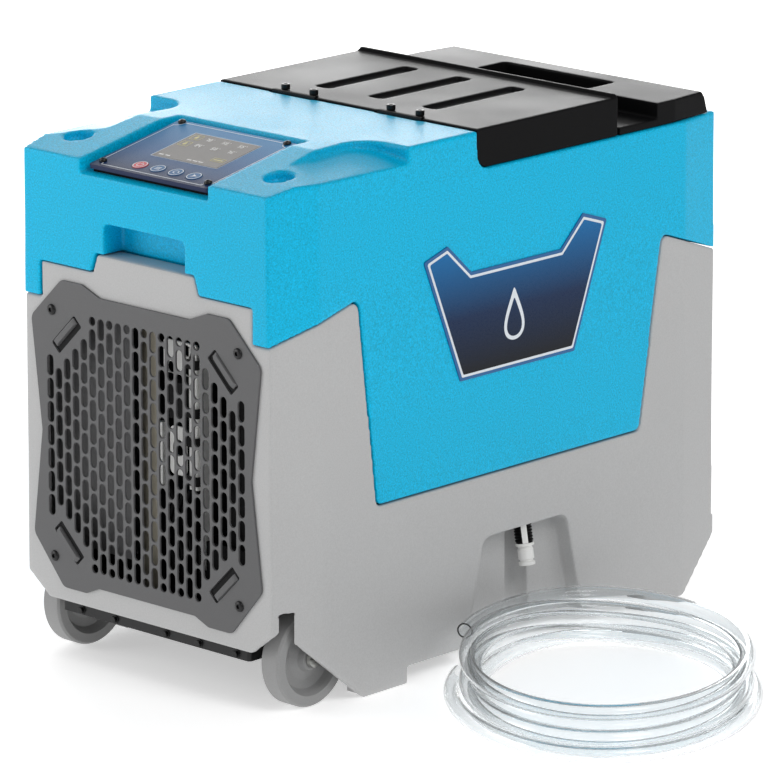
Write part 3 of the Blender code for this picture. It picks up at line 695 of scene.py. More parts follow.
def upper_shell():
    shell = body(FRONT_Y, REAR_Y, 0.15, DECK_Z)
    pad = [(-BEYOND, pad_height(-BEYOND)), (PAD_TOP_Y, DECK_Z), (PAD_TOP_Y, ABOVE), (-BEYOND, ABOVE)]
    recess = [(y, pad_height(y) - PANEL_DEPTH) for y in (-BEYOND, -0.1955)]
    recess += [(-0.192, ABOVE), (-BEYOND, ABOVE)]
    seat = rounded(rectangle(-0.0465, BEYOND, COVER_SEAT_Z, ABOVE), [0.016, 0, 0, 0])
    mouth = rounded(mirrored([(0.0565, 0.425), (0.0565, 0.467)]), [0, 0.006, 0.006, 0])
    cuts = [
        beyond_seam(SEAM / 2, 0.1), prism("Y", tongue_outline(SEAM / 2, 0.3), AHEAD, -0.304),
        prism("X", pad, *ACROSS), prism("X", recess, -0.0895, 0.0895), prism("X", seat, *ACROSS),
        soft_block("Z", (-0.15, 0.15, -0.034, 0.158), 0.012, 0.4405, ABOVE),
        block((-0.0835, 0.2305, 0.46), (0.0835, 0.2865, ABOVE)), prism("Y", mouth, AHEAD, -0.3085),
    ]
    for side, _ in SIDES:
        cuts += [
            scallop(side), rod("Z", (side * 0.14, -0.287, 0.529), 0.03, 0.015),
            side_block(side, *HINGE_X, -0.0485, -0.0425, 0.519, 0.56),
        ]
    shell = softened(combined(shell, cuts), *SHELL_EDGES)
    ceiling = COVER_SEAT_Z - WALL
    roof = [
        (-0.34, 0.09), (0.34, 0.09), (0.34, ceiling), (-0.0545, ceiling), (-0.0545, DECK_Z - WALL),
        (-0.135, DECK_Z - WALL), (-0.135, 0.5245), (-0.19, 0.5245), (-0.34, 0.4975),
    ]
    room = prism("X", roof, *ACROSS)
    hollow = combined(body(FRONT_Y, REAR_Y, 0.1, ABOVE, WALL), [room], "INTERSECT")
    kept = [
        block((-0.158, -0.042, 0.4325), (0.158, 0.166, ABOVE)),
        block((-0.0645, -0.332, 0.425), (0.0645, -0.3005, 0.475)),
    ]
    shell = combined(shell, [combined(hollow, kept)])
    piece("upper_shell_moulding", shell, BLUE, node="upper_shell")


def flare(grow):
    """The side view of a drain recess, wider towards the floor."""
    top = 0.128 + grow
    points = [(-0.062 - grow, 0.0175), (0.114 + grow, 0.0175), (0.088 + grow, top), (-0.037 - grow, top)]
    return rounded(points, [0, 0, 0.012, 0.012])


def lower_shell():
    shell = combined(body(GREY_FRONT_Y, REAR_Y, 0, 0.42), [beyond_seam(-SEAM / 2, 0.5)])
    tongue = tongue_outline(-SEAM / 2, 0.3725)
    bumper = block((-0.172, 0.3265, 0.048), (0.172, 0.338, 0.074))
    shell = combined(shell, [prism("Y", tongue, GREY_FRONT_Y, -0.3045), bumper], "UNION")
    under_front = [(-0.3255, -0.02), (-0.215, -0.02), (-0.215, 0.0), (-0.3255, 0.0892)]
    chin = mirrored([(0.2, -0.02), (0.2, 0.107), (0.187, 0.098), (0.143, 0.064)])
    under_rear = [(0.275, -0.02), (BEYOND, -0.02), (BEYOND, 0.072), (0.275, 0.0)]
    cuts = [
        prism("Y", chin, AHEAD, -0.3255), block((-0.2, -0.151, -0.02), (0.2, 0.215, 0.018)),
        prism("X", under_rear, *ACROSS), block((-0.158, 0.32, -0.02), (0.158, 0.345, 0.048)),
        soft_block("Y", (-0.146, 0.14, 0.098, 0.369), 0.04, AHEAD, -0.29),
        rod("Y", (OUTLET[0], 0.345, OUTLET[1]), 0.04, 0.098, 64),
    ]
    kept = [prism("Y", tongue, -BEYOND, -0.3045)]
    for side, _ in SIDES:
        cuts += [
            prism("X", under_front, *on_side(side, 0.1335, 0.2)),
            side_block(side, 0.139, 0.1765, -0.3258, -0.212, -0.02, 0.108),
            prism("X", flare(0), *on_side(side, 0.164, 0.2)),
            rod("Z", (side * 0.164, DRAIN_Y, 0), 0.128, 0.0165),
        ]
        kept += [
            side_block(side, 0.134, 0.19, -0.33, -0.207, 0.0505, 0.113),
            side_block(side, 0.158, 0.19, -0.2115, -0.151, -0.1, 0.04),
            side_block(side, 0.158, 0.19, 0.215, 0.272, -0.1, 0.04),
            prism("X", flare(0.005), *on_side(side, 0.159, 0.19)),
            rod("Z", (side * 0.164, DRAIN_Y, 0.0175), 0.1155, 0.0205),
        ]
    shell = softened(combined(shell, cuts), *SHELL_EDGES)
    hollow = combined(body(GREY_FRONT_Y, REAR_Y, -0.05, 0.5, WALL), kept)
    piece("lower_shell_moulding", combined(shell, [hollow]), GREY, node="lower_shell")


# -------- fasteners


def socket_screw(radius, height, shank, socket):
    """A domed screw head with a six-sided socket, above a short shank."""
    profile = [
        (0, height * 0.95), (radius * 0.45, height), (radius * 0.78, height * 0.88),
        (radius * 0.95, height * 0.55), (radius, height * 0.15), (radius * 0.97, 0), (shank, 0),
        (shank, -0.004), (0, -0.004),
    ]
    return combined(lathe(profile, 32), [prism("Z", circle(socket, 6), height * 0.35, height * 2)])


def grille_screws():
    for x in (-GRILLE_BOLT[0], GRILLE_BOLT[0]):
        for z, row in ((0.1105, "lower"), (0.3675, "upper")):
            name = f"{row}_{'left' if x < 0 else 'right'}"
            head = moved(socket_screw(0.0056, 0.0024, 0.0022, 0.0024), AXES["Y"])
            shifted(head, x, GREY_FRONT_Y - 0.0026, z)
            piece(f"grille_bolt_{name}", head, FASTENER, node=f"grille_screw_{name}")


# -------- intake grille

GRILLE_MIDDLE = (0.0, 0.2365)
GRILLE_PITCH = (0.01222, 0.0243)
GRILLE_SLOT = (0.009, 0.0215)
GRILLE_COLUMNS = 23
TAB_CENTRE = (0.11, 0.1085)
GRILLE_BOLT = (0.131, 0.1285)
GRILLE_FACE_Y = GREY_FRONT_Y - 0.0025


def slot_cutter(x, z, length):
    """A stadium-shaped punch whose mouth is a little wider at the plate's face."""
    half = GRILLE_SLOT[0] / 2

    def stadium(grow, y):
        points = []
        for end in (1, -1):
            for step in range(9):
                across, up = polar(half + grow, math.pi * step / 8)
                points.append((x + end * across, y, z + end * (length / 2 - half + up)))
        return points

    depths = ((0.0007, -0.0005), (0, 0.0005), (0, 0.006))
    return loft([stadium(grow, GRILLE_FACE_Y + depth) for grow, depth in depths])


def grille_slots():
    cutters = []
    middle = GRILLE_COLUMNS // 2
    for column in range(GRILLE_COLUMNS):
        away = abs(column - middle)
        x = GRILLE_MIDDLE[0] + (column - middle) * GRILLE_PITCH[0]
        reach = 5 if away % 2 else 4.5
        if away > 6:
            reach = 7.5 - away / 2
        if away == middle:
            reach = 3
        for row in range(int(2 * reach) + 1):
            z = GRILLE_MIDDLE[1] + (row - reach) * GRILLE_PITCH[1]
            cutters.append(slot_cutter(x, z, GRILLE_SLOT[1]))
        if away <= 6 and away % 2 == 0:
            for end in (-1, 1):
                z = GRILLE_MIDDLE[1] + end * GRILLE_BOLT[1]
                cutters.append(slot_cutter(x, z, GRILLE_SLOT[0] + 0.0001))
    return merged(cutters)


def lanced_tab(side, end):
    """The matrix that lays a tab at 45 degrees across a corner of the plate, and turns +Z to -Y."""
    tilt = Matrix.Rotation(-side * end * math.radians(45), 4, "Z")
    where = Matrix.Translation((side * TAB_CENTRE[0], 0, GRILLE_MIDDLE[1] + end * TAB_CENTRE[1]))
    return where @ AXES["Y"] @ tilt


def front_grille():
    half = [
        (0.068, 0.0875), (0.087, 0.0795), (0.119, 0.0795), (0.1615, 0.13), (0.1475, 0.24),
        (0.1615, 0.357), (0.118, 0.4), (0.088, 0.4), (0.0625, 0.39),
    ]
    radii = [0.006, 0.008, 0.01, 0.012, 0.016, 0.012, 0.01, 0.008, 0.006]
    outline = rounded(mirrored(half), radii + radii[::-1])
    sheet = moved(plate(outline, 0.0022, 0.0007), AXES["Y"])
    shifted(sheet, 0, GREY_FRONT_Y - 0.0003, 0)
    cuts = [grille_slots()]
    bars, backs = [], []
    for side, _ in SIDES:
        for end in (-1, 1):
            about = lanced_tab(side, end)
            # Behind each tab window lies a thin matt black sheet: painted shade, standing in for the dark
            # gap inside the lanced tab.
            back = soft_block("Z", (-0.0235, 0.0235, -0.008, 0.008), 0.002, 0.33395, 0.3342)
            backs.append(moved(back, about))
            window = soft_block("Z", (-0.023, 0.023, -0.0075, 0.0075), 0.002, 0.33, 0.34)
            hole = (side * GRILLE_BOLT[0], -0.32, GRILLE_MIDDLE[1] + end * GRILLE_BOLT[1])
            cuts += [moved(window, about), rod("Y", hole, 0.02, 0.0028)]
            low, high = sorted((end * -0.0006, end * 0.0068))
            foot = soft_rectangle(-0.02, 0.02, low, high, 0.001, 3)
            top = soft_rectangle(-0.0165, 0.0165, low + 0.0008, high - 0.0008, 0.001, 3)
            levels = [at_height(foot, 0.3343), at_height(foot, 0.3362), at_height(top, 0.3385)]
            bars.append(moved(loft(levels), about))
    piece("front_grille_plate", combined(sheet, cuts), PLATE, node="front_grille")
    piece("grille_tabs", merged(bars), PLATE)
    piece("grille_tab_painted_shade", merged(backs), MATT_BLACK_AND_SHADE)


# -------- control panel

PANEL_Y = -0.2625
BUTTON_X = [-0.029 + 0.025 * index for index in range(4)]
BUTTON_V = -0.0485
BUTTON_NAMES = ("power", "mode", "set", "timer")
SCREEN_BOX = (-0.038, 0.052, -0.0229, 0.0402)
PANEL_SCREWS = (0.0735, 0.0565)
SEGMENTS = {
    "0": "abcdef", "2": "abged", "4": "fgbc", "5": "afgcd", "6": "afgedc", "7": "abc", "8": "abcdefg",
}
GLYPH_RISE = 0.00012
PRINT = (0.0002, 0.0004)  # how high print on the display starts and ends


def panel_frame():
    """Frame of the control panel: X across, Y up the slope, Z out of its face."""
    origin = (0, PANEL_Y, pad_height(PANEL_Y) - PANEL_DROP)
    return Matrix.Translation(origin) @ Matrix.Rotation(math.atan(PAD_SLOPE), 4, "X")


def digit(symbol, x, y, height):
    """One seven-segment digit as thin bars, with its lower left corner at (x, y)."""
    width, half, thick = height / 2, height / 2, height * 0.16
    bars = {
        "a": (0, width, height - thick, height), "b": (width - thick, width, half, height),
        "c": (width - thick, width, 0, half), "d": (0, width, 0, thick), "e": (0, thick, 0, half),
        "f": (0, thick, half, height), "g": (0, width, half - thick / 2, half + thick / 2),
    }
    boxes = [bars[segment] for segment in SEGMENTS[symbol]]
    return [
        prism("Z", rectangle(x + left, x + right, y + low, y + high), *PRINT)
        for left, right, low, high in boxes
    ]


def display():
    frame_at = panel_frame()
    glass = plate(soft_rectangle(*SCREEN_BOX, 0.0006, 2), 0.0015, 0.0002)
    piece("display_glass", shifted(glass, 0, 0, -0.0012), SCREEN, node="display_window", at=frame_at)
    printed = []
    for height, readings in ((0.028, "706855"), (0.012, "845076")):
        for pair in range(3):
            x = -0.014 + 0.0225 * pair
            printed += digit(readings[2 * pair], x, height, 0.0062)
            printed += digit(readings[2 * pair + 1], x + 0.0042, height, 0.0062)
            printed.append(prism("Z", circle(0.0007, 8, (x + 0.0092, height + 0.0055)), *PRINT))
    for x in (-0.033, -0.024, 0.006, 0.014, 0.022):
        printed.append(prism("Z", rectangle(x, x + 0.0062, -0.0185, -0.0168), *PRINT))
    piece("display_digits", merged(printed), DIGITS, at=frame_at)
    shown = [prism("Z", rectangle(0.0325, 0.0445, -0.0076, -0.0056), *PRINT)]
    boxes = [(0.03, 0.047, -0.0105, -0.0025)]
    for low in (0.0255, 0.0085):
        boxes.append((-0.0345, -0.021, low, low + 0.011))
        shown.append(prism("Z", droplet(0.003, (-0.02775, low + 0.0055)), *PRINT))
    for box in boxes:
        shown.append(line_ring(soft_rectangle(*box, 0.0012, 3), 0.0006, *PRINT))
    piece("display_frames", merged(shown), AMBER, at=frame_at)


def droplet(size, centre, steps=24):
    """A plain drop: round below, drawn to a point above."""
    points = []
    for across, up in circle(1, steps):
        pull = (1 - across) / 2
        x = size * 0.8 * up * (1 - pull**2 * 0.75)
        y = -size * across * (1 + 0.45 * pull)
        points.append((centre[0] + x, centre[1] + y))
    return points


def arc_line(radius, start, end, width, steps=24):
    """A thin flat arc between two angles in degrees, as an outline."""
    turns = [math.radians(start + (end - start) * step / steps) for step in range(steps + 1)]
    outer = [polar(radius, turn) for turn in turns]
    return outer + [polar(radius - width, turn) for turn in reversed(turns)]


def button_glyphs(name):
    """Plain symbols: a power mark, three bars, a tick ring and a pointer."""
    outlines = {
        "power": [arc_line(0.004, 125, 415, 0.0008), rectangle(-0.0004, 0.0004, 0.0012, 0.0048)],
        "mode": [rectangle(-0.0032, 0.0032, y - 0.0005, y + 0.0005) for y in (-0.0022, 0, 0.0022)],
        "set": [
            arc_line(0.0034, 0, 300, 0.0008), [(0.0018, -0.0008), (0.0048, -0.0008), (0.0033, 0.0012)],
        ],
        "timer": [[(-0.0028, -0.0034), (0.0036, 0), (-0.0028, 0.0034), (-0.0012, 0)]],
    }
    return [prism("Z", outline, 0.0006, 0.0006 + GLYPH_RISE) for outline in outlines[name]]


def buttons():
    frame_at = panel_frame()
    for x, name in zip(BUTTON_X, BUTTON_NAMES):
        at = frame_at @ Matrix.Translation((x, BUTTON_V, 0))
        side = [(0, 0.0006), (0.0083, 0.0006), (0.0083, -0.0055), (0, -0.0055)]
        cap = lathe(rounded(side, [0, 0.0005, 0, 0], 4))
        look = RED if name == "power" else OVERLAY
        piece(f"{name}_cap", cap, look, f"{name}_button", f"button_{name}", at)
        ring = line_ring(circle(0.0079, 48), 0.0009, 0.0004, 0.0006 + GLYPH_RISE)
        symbol = merged([ring, *button_glyphs(name)])
        piece(f"{name}_symbol", symbol, INK, f"{name}_button", at=at)


def notched_frame(half_x, low, high, notch):
    """The printed border: a rectangle that steps round the four screws on concave arcs."""
    points = []
    for side, y in ((1, low), (1, high), (-1, high), (-1, low)):
        end = 1 if y == high else -1
        arc = []
        for step in range(9):
            across, up = polar(notch, math.pi / 16 * step)
            arc.append((side * (half_x - across), y - end * up))
        points += arc[:: -side * end]
    return points


def control_panel():
    frame_at = panel_frame()
    outline = soft_rectangle(-0.083, 0.083, -0.068, 0.062, 0.003, 4)
    board = shifted(plate(outline, 0.0045, 0.0006), 0, 0, -0.0045)
    base = shifted(plate(inset(outline, 0.003), 0.0042, 0.0004), 0, 0, -0.0088)
    cuts = [rod("Z", (x, BUTTON_V, -0.02), 0.04, 0.0088, 48) for x in BUTTON_X]
    for side, word in SIDES:
        for end, row in ((-1, "front"), (1, "rear")):
            x, y = side * PANEL_SCREWS[0], end * PANEL_SCREWS[1]
            cuts.append(rod("Z", (x, y, -0.02), 0.04, 0.0024))
            screw = shifted(socket_screw(0.0042, 0.0028, 0.0019, 0.0019), 0, 0, 0.0003)
            at = frame_at @ Matrix.Translation((x, y, 0))
            name = f"{row}_{word}"
            piece(f"panel_bolt_{name}", screw, FASTENER, node=f"panel_screw_{name}", at=at)
    window = block((-0.0383, -0.0232, -0.0015), (0.0523, 0.0405, 0.01))
    board = combined(board, [window, *cuts])
    piece("control_panel_plate", board, OVERLAY, node="control_panel", at=frame_at)
    piece("control_panel_base", combined(base, cuts), BLACK, at=frame_at)
    lines = (
        (notched_frame(0.0785, -0.0635, 0.0575, 0.0085), 0.0009),
        (rectangle(-0.0392, 0.0532, -0.0241, 0.0414), 0.0007),
    )
    border = [line_ring(path, width, -0.0001, GLYPH_RISE) for path, width in lines]
    piece("panel_border", merged(border), INK, at=frame_at)
    display()
    buttons()


# -------- lid and rear cover


def storage_lid():
    side = rounded(rectangle(*LID_Y, COVER_SEAT_Z + REST_GAP, LID_TOP_Z), [0.016, 0, 0, 0])
    lid = prism("X", side, -LID_HALF_X, LID_HALF_X)
    lid = combined(lid, [rod("X", (-0.178, 0.1645, LID_TOP_Z), 0.356, 0.004)], "UNION")
    cuts = []
    for x in (-0.075, 0, 0.075):
        cuts.append(soft_block("Z", (x - 0.0102, x + 0.0102, -0.003, 0.133), 0.005, 0.548, 0.56))
    bolts = []
    for side, word in SIDES:
        cuts.append(side_block(side, *HINGE_X, -0.05, -0.0418, 0.54, 0.56))
        bolts += [(f"inner_{word}", side * 0.054), (f"outer_{word}", side * 0.094)]
    lid = softened(combined(lid, cuts), *COVER_EDGES)
    inside = [block((-0.1755, -0.06, 0.5), (0.1755, 0.1645, 0.5465))]
    inside += [rod("Z", (x, HINGE_BOLT_Y, 0.54), 0.02, 0.0024) for _, x in bolts]
    piece("storage_lid_moulding", combined(lid, inside), BLACK, "lid", "storage_lid")
    profile = [
        (0, 0.006), (0.0046, 0.006), (0.0046, 0.0003), (0.002, 0.0003), (0.002, -0.005), (0, -0.005),
    ]
    profile = rounded(profile, [0, 0.0009, 0.0004, 0, 0, 0], 3)
    for name, x in bolts:
        socket = prism("Z", circle(0.0024, 6), 0.0028, 0.01)
        bolt = shifted(combined(lathe(profile, 32), [socket]), x, HINGE_BOLT_Y, LID_TOP_Z)
        piece(f"hinge_cap_{name}", bolt, FASTENER, "lid", f"hinge_bolt_{name}")


def rear_cover():
    side = [
        (0.1715, COVER_SEAT_Z + REST_GAP), (0.318, COVER_SEAT_Z + REST_GAP), (0.312, 0.53),
        (0.306, REAR_TOP_Z), (REAR_STEP_Y, REAR_TOP_Z), (REAR_STEP_Y, 0.5195), (0.1715, 0.5195),
    ]
    plan = [
        (-LID_HALF_X, 0.17), (LID_HALF_X, 0.17), (LID_HALF_X, 0.258), (0.172, 0.33), (-0.172, 0.33),
        (-LID_HALF_X, 0.258),
    ]
    cover = prism("X", side, -LID_HALF_X, LID_HALF_X)
    cover = combined(cover, [prism("Z", plan, 0.5, 0.56)], "INTERSECT")
    cover = combined(cover, [block((-0.082, 0.232, 0.466), (0.082, 0.285, 0.52))], "UNION")
    pocket = soft_block("Z", (-0.078, 0.078, 0.236, 0.281), 0.006, 0.47, 0.56)
    cover = softened(combined(cover, [pocket]), *COVER_EDGES)
    piece("rear_cover_moulding", cover, BLACK, node="rear_cover")


# -------- sides and rear


def side_badges():
    """A label on each side, with a printed line inside its edge and a plain drop on it."""
    outline = [
        (-0.074, 0.299), (0.098, 0.299), (0.148, 0.429), (0.111, 0.441), (0.077, 0.409), (-0.057, 0.409),
        (-0.092, 0.441), (-0.127, 0.43),
    ]
    outline = [(y, z - BADGE_Z) for y, z in outline]
    wall = HALF_WIDTH * (1 - DRAFT * (BADGE_Z - DRAFT_FROM))

    def layer(depth):
        """The outline of a layer of the label, so far inside its edge."""
        return rounded(inset(outline, depth), [0.002] * 8, 3)

    for side, word in SIDES:
        tilt = Matrix.Rotation(-side * math.atan(HALF_WIDTH * DRAFT), 4, "Y")
        flip = Matrix.Diagonal((1, 1, side, 1))
        about = Matrix.Translation((side * wall, 0, BADGE_Z)) @ tilt @ AXES["X"] @ flip
        drop = droplet(0.022, (0.006, -0.02), 48)
        core = droplet(0.016, (0.006, -0.022), 48)
        line = [prism("Z", layer(0.0035), 0.0008, 0.0014), prism("Z", drop, 0.0015, 0.0018)]
        field = [prism("Z", layer(0.0062), 0.001, 0.0016), prism("Z", core, 0.0016, 0.002)]
        edge = shifted(plate(layer(0), 0.001, 0.0003), 0, 0, 0.0002)
        for name, mesh, look, node in (
            ("plate", edge, BADGE_EDGE, f"side_badge_{word}"), ("line", merged(line), INK, None),
            ("field", merged(field), BADGE, None),
        ):
            mesh.transform(about)
            if side < 0:
                mesh.flip_normals()
            piece(f"badge_{name}_{word}", mesh, look, node=node)


def drain():
    """The ribbed sleeve and quick connector that hang in the +X drain recess."""
    lean = Matrix.Rotation(math.radians(-10), 4, "Y")
    hang = Matrix.Translation((0.169, DRAIN_Y + 0.003, 0.1258)) @ lean
    sleeve = [(0, 0), (0.008, 0)]
    rib = [(0.0093, 0.001), (0.0096, 0.0017), (0.0093, 0.0024), (0.0086, 0.0029), (0.0086, 0.0036)]
    for index in range(6):
        sleeve += [(radius, -drop - 0.0032 * index) for radius, drop in rib]
    sleeve += [(0.0086, -0.0205), (0, -0.0205)]
    fitting = rounded(
        [
            (0, -0.0205), (0.0098, -0.0205), (0.0098, -0.0232), (0.0074, -0.0242), (0.0074, -0.0262),
            (0.0082, -0.027), (0.0082, -0.0372), (0.0068, -0.0378), (0.0068, -0.0398), (0.0086, -0.0402),
            (0.0086, -0.0436), (0.005, -0.0436), (0.0048, -0.032), (0, -0.032),
        ],
        [0, 0.0006, 0.0006, 0.0003, 0.0003, 0.0005, 0.0003, 0, 0, 0.0005, 0.0008, 0.0005, 0, 0], 3,
    )
    piece("drain_boot", lathe(sleeve), BLACK, node="drain_sleeve", at=hang)
    piece("drain_coupling", lathe(fitting), WHITE, node="drain_connector", at=hang)
    strip = [(0.0098, 0.0), (0.01, -0.0002), (0.01, -0.02), (0.0098, -0.0202)]
    loops = []
    for turn in (-1.0, -0.8, -0.6, -0.4):
        front = [(*polar(radius, turn), z) for radius, z in strip]
        loops.append(front + [(x * 0.955, y * 0.955, z) for x, y, z in reversed(front)])
    piece("drain_strip", loft(loops), WHITE, at=hang)


def on_rear(x, z):
    """The matrix that lays a part on the rear wall, its +Z pointing away from the machine."""
    turned = Matrix.Rotation(math.radians(-90), 4, "X")
    return Matrix.Translation((x, REAR_Y + 0.0003, z)) @ turned


def outlet_guard():
    """Round exhaust guard: a pressed rim with wire rings on four spokes."""
    rim = [(0.112, 0), (0.112, 0.0022), (0.098, 0.0022), (0.098, 0)]
    parts = [
        lathe(rounded(rim, [0, 0.0008, 0.0006, 0], 3), 96, ring=True),
        lathe([(0, 0.0024), (0.012, 0.0022), (0.014, 0.0012), (0.014, 0), (0, 0)]),
    ]
    for index in range(8):
        wire = lathe(circle(0.001, 10, (0.018 + 0.0114 * index, 0)), 96, ring=True)
        parts.append(shifted(wire, 0, 0, 0.0012))
    screws = []
    for index in range(4):
        turn = math.pi / 2 * index
        spoke = plate(soft_rectangle(0.01, 0.1, -0.0025, 0.0025, 0.001, 2), 0.0016, 0.0003)
        parts.append(moved(spoke, Matrix.Translation((0, 0, 0.0002)), spin(turn + math.pi / 4)))
        screws.append(shifted(socket_screw(0.0042, 0.0018, 0.0018, 0.0018), *polar(0.105, turn), 0.002))
    piece("outlet_guard", moved(merged(parts), on_rear(*OUTLET)), PLATE, node="outlet_grille")
    piece("outlet_screws", moved(merged(screws), on_rear(*OUTLET)), FASTENER)


def cord_gland():
    """A gland with a six-sided collar and a domed nut."""
    collar = plate(circle(0.013, 6), 0.0024, 0.0005)
    dome = [(0, 0.0045), (0.006, 0.0045), (0.0092, 0.0038), (0.01, 0.002), (0.01, 0), (0, 0)]
    nut = moved(merged([collar, lathe(dome, 32)]), on_rear(0.13, 0.13))
    piece("cord_gland_nut", nut, BLACK, node="cord_gland")


# -------- wheels


def wheels():
    """A moulded wheel: smooth tread, flat rim ring, dished web and raised hub on both faces."""
    half = 0.012
    face = [
        (0.0068, half * 0.95), (0.012, half * 0.95), (0.0145, half * 0.4), (0.024, half * 0.12),
        (0.033, half * 0.25), (0.0362, half * 0.72), (0.0385, half), (0.048, half),
        (WHEEL_RADIUS, half - 0.0025),
    ]
    radii = [0, 0.001, 0.0015, 0.004, 0.002, 0.001, 0.0006, 0.0012, 0.0012]
    profile = face + [(radius, -height) for radius, height in reversed(face)]
    profile = rounded(profile, radii + radii[::-1], 4)
    for side, word in SIDES:
        turn = AXES["X"] if side > 0 else AXES["X"] @ Matrix.Rotation(math.pi, 4, "X")
        at = Matrix.Translation((side * WHEEL_CENTRE[0], WHEEL_CENTRE[1], WHEEL_RADIUS))
        tyre = moved(lathe(profile, 96, ring=True), turn)
        piece(f"wheel_moulding_{word}", tyre, WHEEL_GREY, f"{word}_wheel", f"wheel_{word}", at)


# -------- inside

FIN_PITCH = 0.0024
TUBE_PITCH = 0.025


def base_pan():
    """The drip pan between the shells, with the flange bolts that show under the chin."""
    low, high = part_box("base_pan")
    outer = soft_rectangle(low.x, high.x, low.y, high.y, 0.004)
    inner = prism("Z", inset(outer, 0.0025), 0.054, 0.09)
    pan = combined(prism("Z", outer, low.z, high.z), [inner])
    piece("base_pan_pressing", pan, FASTENER, node="base_pan")
    heads = []
    flange = rounded(rectangle(0, 0.0048, -0.001, 0.0006), [0, 0, 0.0003, 0], 2)
    for x in (-0.105, -0.057, 0.016, 0.063, 0.115):
        head = shifted(plate(circle(0.0036, 6), 0.0028, 0.0005), 0, 0, 0.0005)
        bolt = moved(merged([head, lathe(flange, 24)]), AXES["Y"])
        heads.append(shifted(bolt, x, low.y - 0.0002, 0.056))
    piece("pan_bolts", merged(heads), FASTENER)


def finned_coil(name, node):
    """Thin fins stacked across the air flow, on rows of tube."""
    low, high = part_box(node)
    fins = []
    for index in range(int((high.x - low.x - 0.004) / FIN_PITCH)):
        x = low.x + 0.002 + FIN_PITCH * index
        fins.append(block((x, low.y, low.z), (x + 0.0004, high.y, high.z)))
    piece(name, merged(fins), ALUMINIUM, node=node)
    tubes = []
    for row in range(int((high.z - low.z) / TUBE_PITCH)):
        for share in (0.28, 0.72):
            spot = (low.x, low.y + (high.y - low.y) * share, low.z + TUBE_PITCH * (row + 0.5))
            tubes.append(rod("X", spot, high.x - low.x, 0.0045, 16))
    piece(f"{name}_tubes", merged(tubes), COPPER)


def air_path():
    finned_coil("evaporator_fins", "evaporator_coil")
    finned_coil("condenser_fins", "condenser_coil")
    low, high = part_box("coil_end_plate")
    flange = (low.x, low.x + 0.024, low.y, low.y + 0.0016)
    folded = combined(block(low, high), [soft_block("Z", flange, 0.0006, low.z, high.z, 2)], "UNION")
    piece("end_plate_folded", folded, GALVANISED, node="coil_end_plate")
    # A thin matt black sheet on the end plate's open face: painted shade over the plate where it shows
    # through the grille.
    shade_sheet = block(
        (high.x + 0.0002, low.y + 0.003, low.z + 0.004),
        (high.x + 0.0018, high.y - 0.002, high.z - 0.004),
    )
    piece("end_plate_painted_shade", shade_sheet, MATT_BLACK_AND_SHADE)


def fan():
    """Hub with six twisted blades."""
    centre = Matrix.Translation((0, 0.245, OUTLET[1])) @ AXES["Y"]
    hub = rounded(
        [(0, 0.016), (0.03, 0.016), (0.03, -0.017), (0.026, -0.017), (0.026, 0.01), (0, 0.01)],
        [0, 0.006, 0.001, 0.001, 0.003, 0], 5,
    )
    parts = [lathe(hub, 64)]
    for index in range(6):
        sections = []
        for step in range(10):
            share = step / 9
            radius = 0.0285 + 0.0595 * share
            pitch = math.radians(50 - 24 * share)
            chord = 0.034 + 0.02 * math.sin(math.pi * share * 0.7)
            section = []
            for x, y in circle(1, 12):
                along = chord / 2 * x + 0.01 * share * share
                thick = 0.0011 * y + 0.004 * (1 - x**2)
                across = along * math.cos(pitch) - thick * math.sin(pitch)
                height = along * math.sin(pitch) + thick * math.cos(pitch)
                section.append((radius, across, max(min(height, 0.0165), -0.0165)))
            sections.append(section)
        parts.append(moved(loft(sections), spin(math.tau * index / 6)))
    piece("fan_rotor", merged(parts), BLACK, "fan", "fan_impeller", centre)


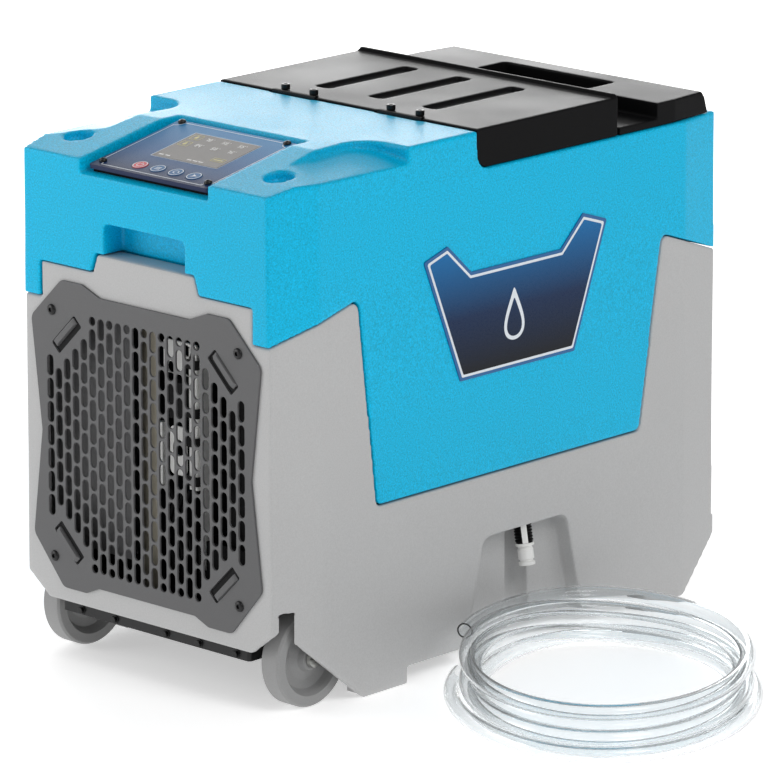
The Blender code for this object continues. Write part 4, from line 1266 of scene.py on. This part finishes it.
def front_bay():
    """What shows through the grille beside the coils: a white bracket with its clips and wiring, and a
    matt black sheet of painted shade behind the slots on the right.
    """
    upper = soft_block("Y", (-0.016, 0.03, 0.316, 0.35), 0.003, -0.293, -0.2905)
    spots = ((-0.006, 0.322), (0.016, 0.342), (0.017, 0.322))
    holes = [rod("Y", (x, -0.28, z), 0.03, 0.006, 24) for x, z in spots]
    post = soft_block("Z", (0.018, 0.03, -0.293, -0.284), 0.002, 0.2, 0.345, 3)
    strip = soft_block("Z", (0.036, 0.041, -0.295, -0.282), 0.001, 0.12, 0.335, 2)
    short = soft_block("Z", (-0.027, -0.019, -0.293, -0.286), 0.001, 0.196, 0.262, 2)
    shelf = soft_block("Y", (-0.008, 0.014, 0.212, 0.262), 0.006, -0.293, -0.2905)
    shelf = combined(shelf, [rod("Y", (0.004, -0.28, 0.24), 0.03, 0.0085, 24)])
    piece("pump_bracket", merged([combined(upper, holes), post, strip, short, shelf]), WHITE)
    clips = [
        soft_block("Z", (0.015, 0.033, -0.296, -0.281), 0.003, z, z + 0.009, 4)
        for z in (0.205, 0.245, 0.275, 0.325)
    ]
    relay = soft_block("Z", (-0.014, 0.012, -0.29, -0.262), 0.004, 0.268, 0.306, 4)
    # A thin matt black sheet behind the right of the grille: painted shade that darkens what shows
    # through the slots there.
    shade_sheet = soft_block("Z", (0.048, 0.146, -0.264, -0.262), 0.0006, 0.105, 0.4, 2)
    piece("pump_clips_relay_and_painted_shade", merged([*clips, relay, shade_sheet]), MATT_BLACK_AND_SHADE)
    wires = []
    for index in range(3):
        route = []
        for step in range(11):
            x = -0.016 + 0.012 * index + 0.006 * math.sin(step * 0.9 + index)
            route.append(Vector((x, -0.286, 0.196 - 0.009 * step)))
        wires.append(sweep(route, 0.0022, 10))
    piece("pump_wiring", merged(wires), BLACK)


def kept_nodes():
    """New finishes for the CAD nodes that are shown as they are."""
    finishes = {
        BLACK: ["compressor", "accumulator", "condensate_tray", "condensate_pump", "pump_tank"],
        PLATE: ["intake_screen"], GREY: ["fan_wall"],
        STEEL: ["fan_motor", "motor_bracket", "run_capacitor", "float_stem", "axle_left", "axle_right"],
        COPPER: ["suction_pipe", "discharge_pipe", "filter_drier"],
        FASTENER: ["hinge_leaf_left", "hinge_leaf_right", "lid_strap_left", "lid_strap_right"],
        WHITE: ["pump_float"], BOARD: ["control_board"],
    }
    for look, names in finishes.items():
        for name in names:
            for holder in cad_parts[name].material_slots:
                holder.material = look


camera()
studio()
hose()
upper_shell()
lower_shell()
grille_screws()
front_grille()
control_panel()
storage_lid()
rear_cover()
side_badges()
drain()
outlet_guard()
cord_gland()
wheels()
base_pan()
air_path()
fan()
front_bay()
kept_nodes()
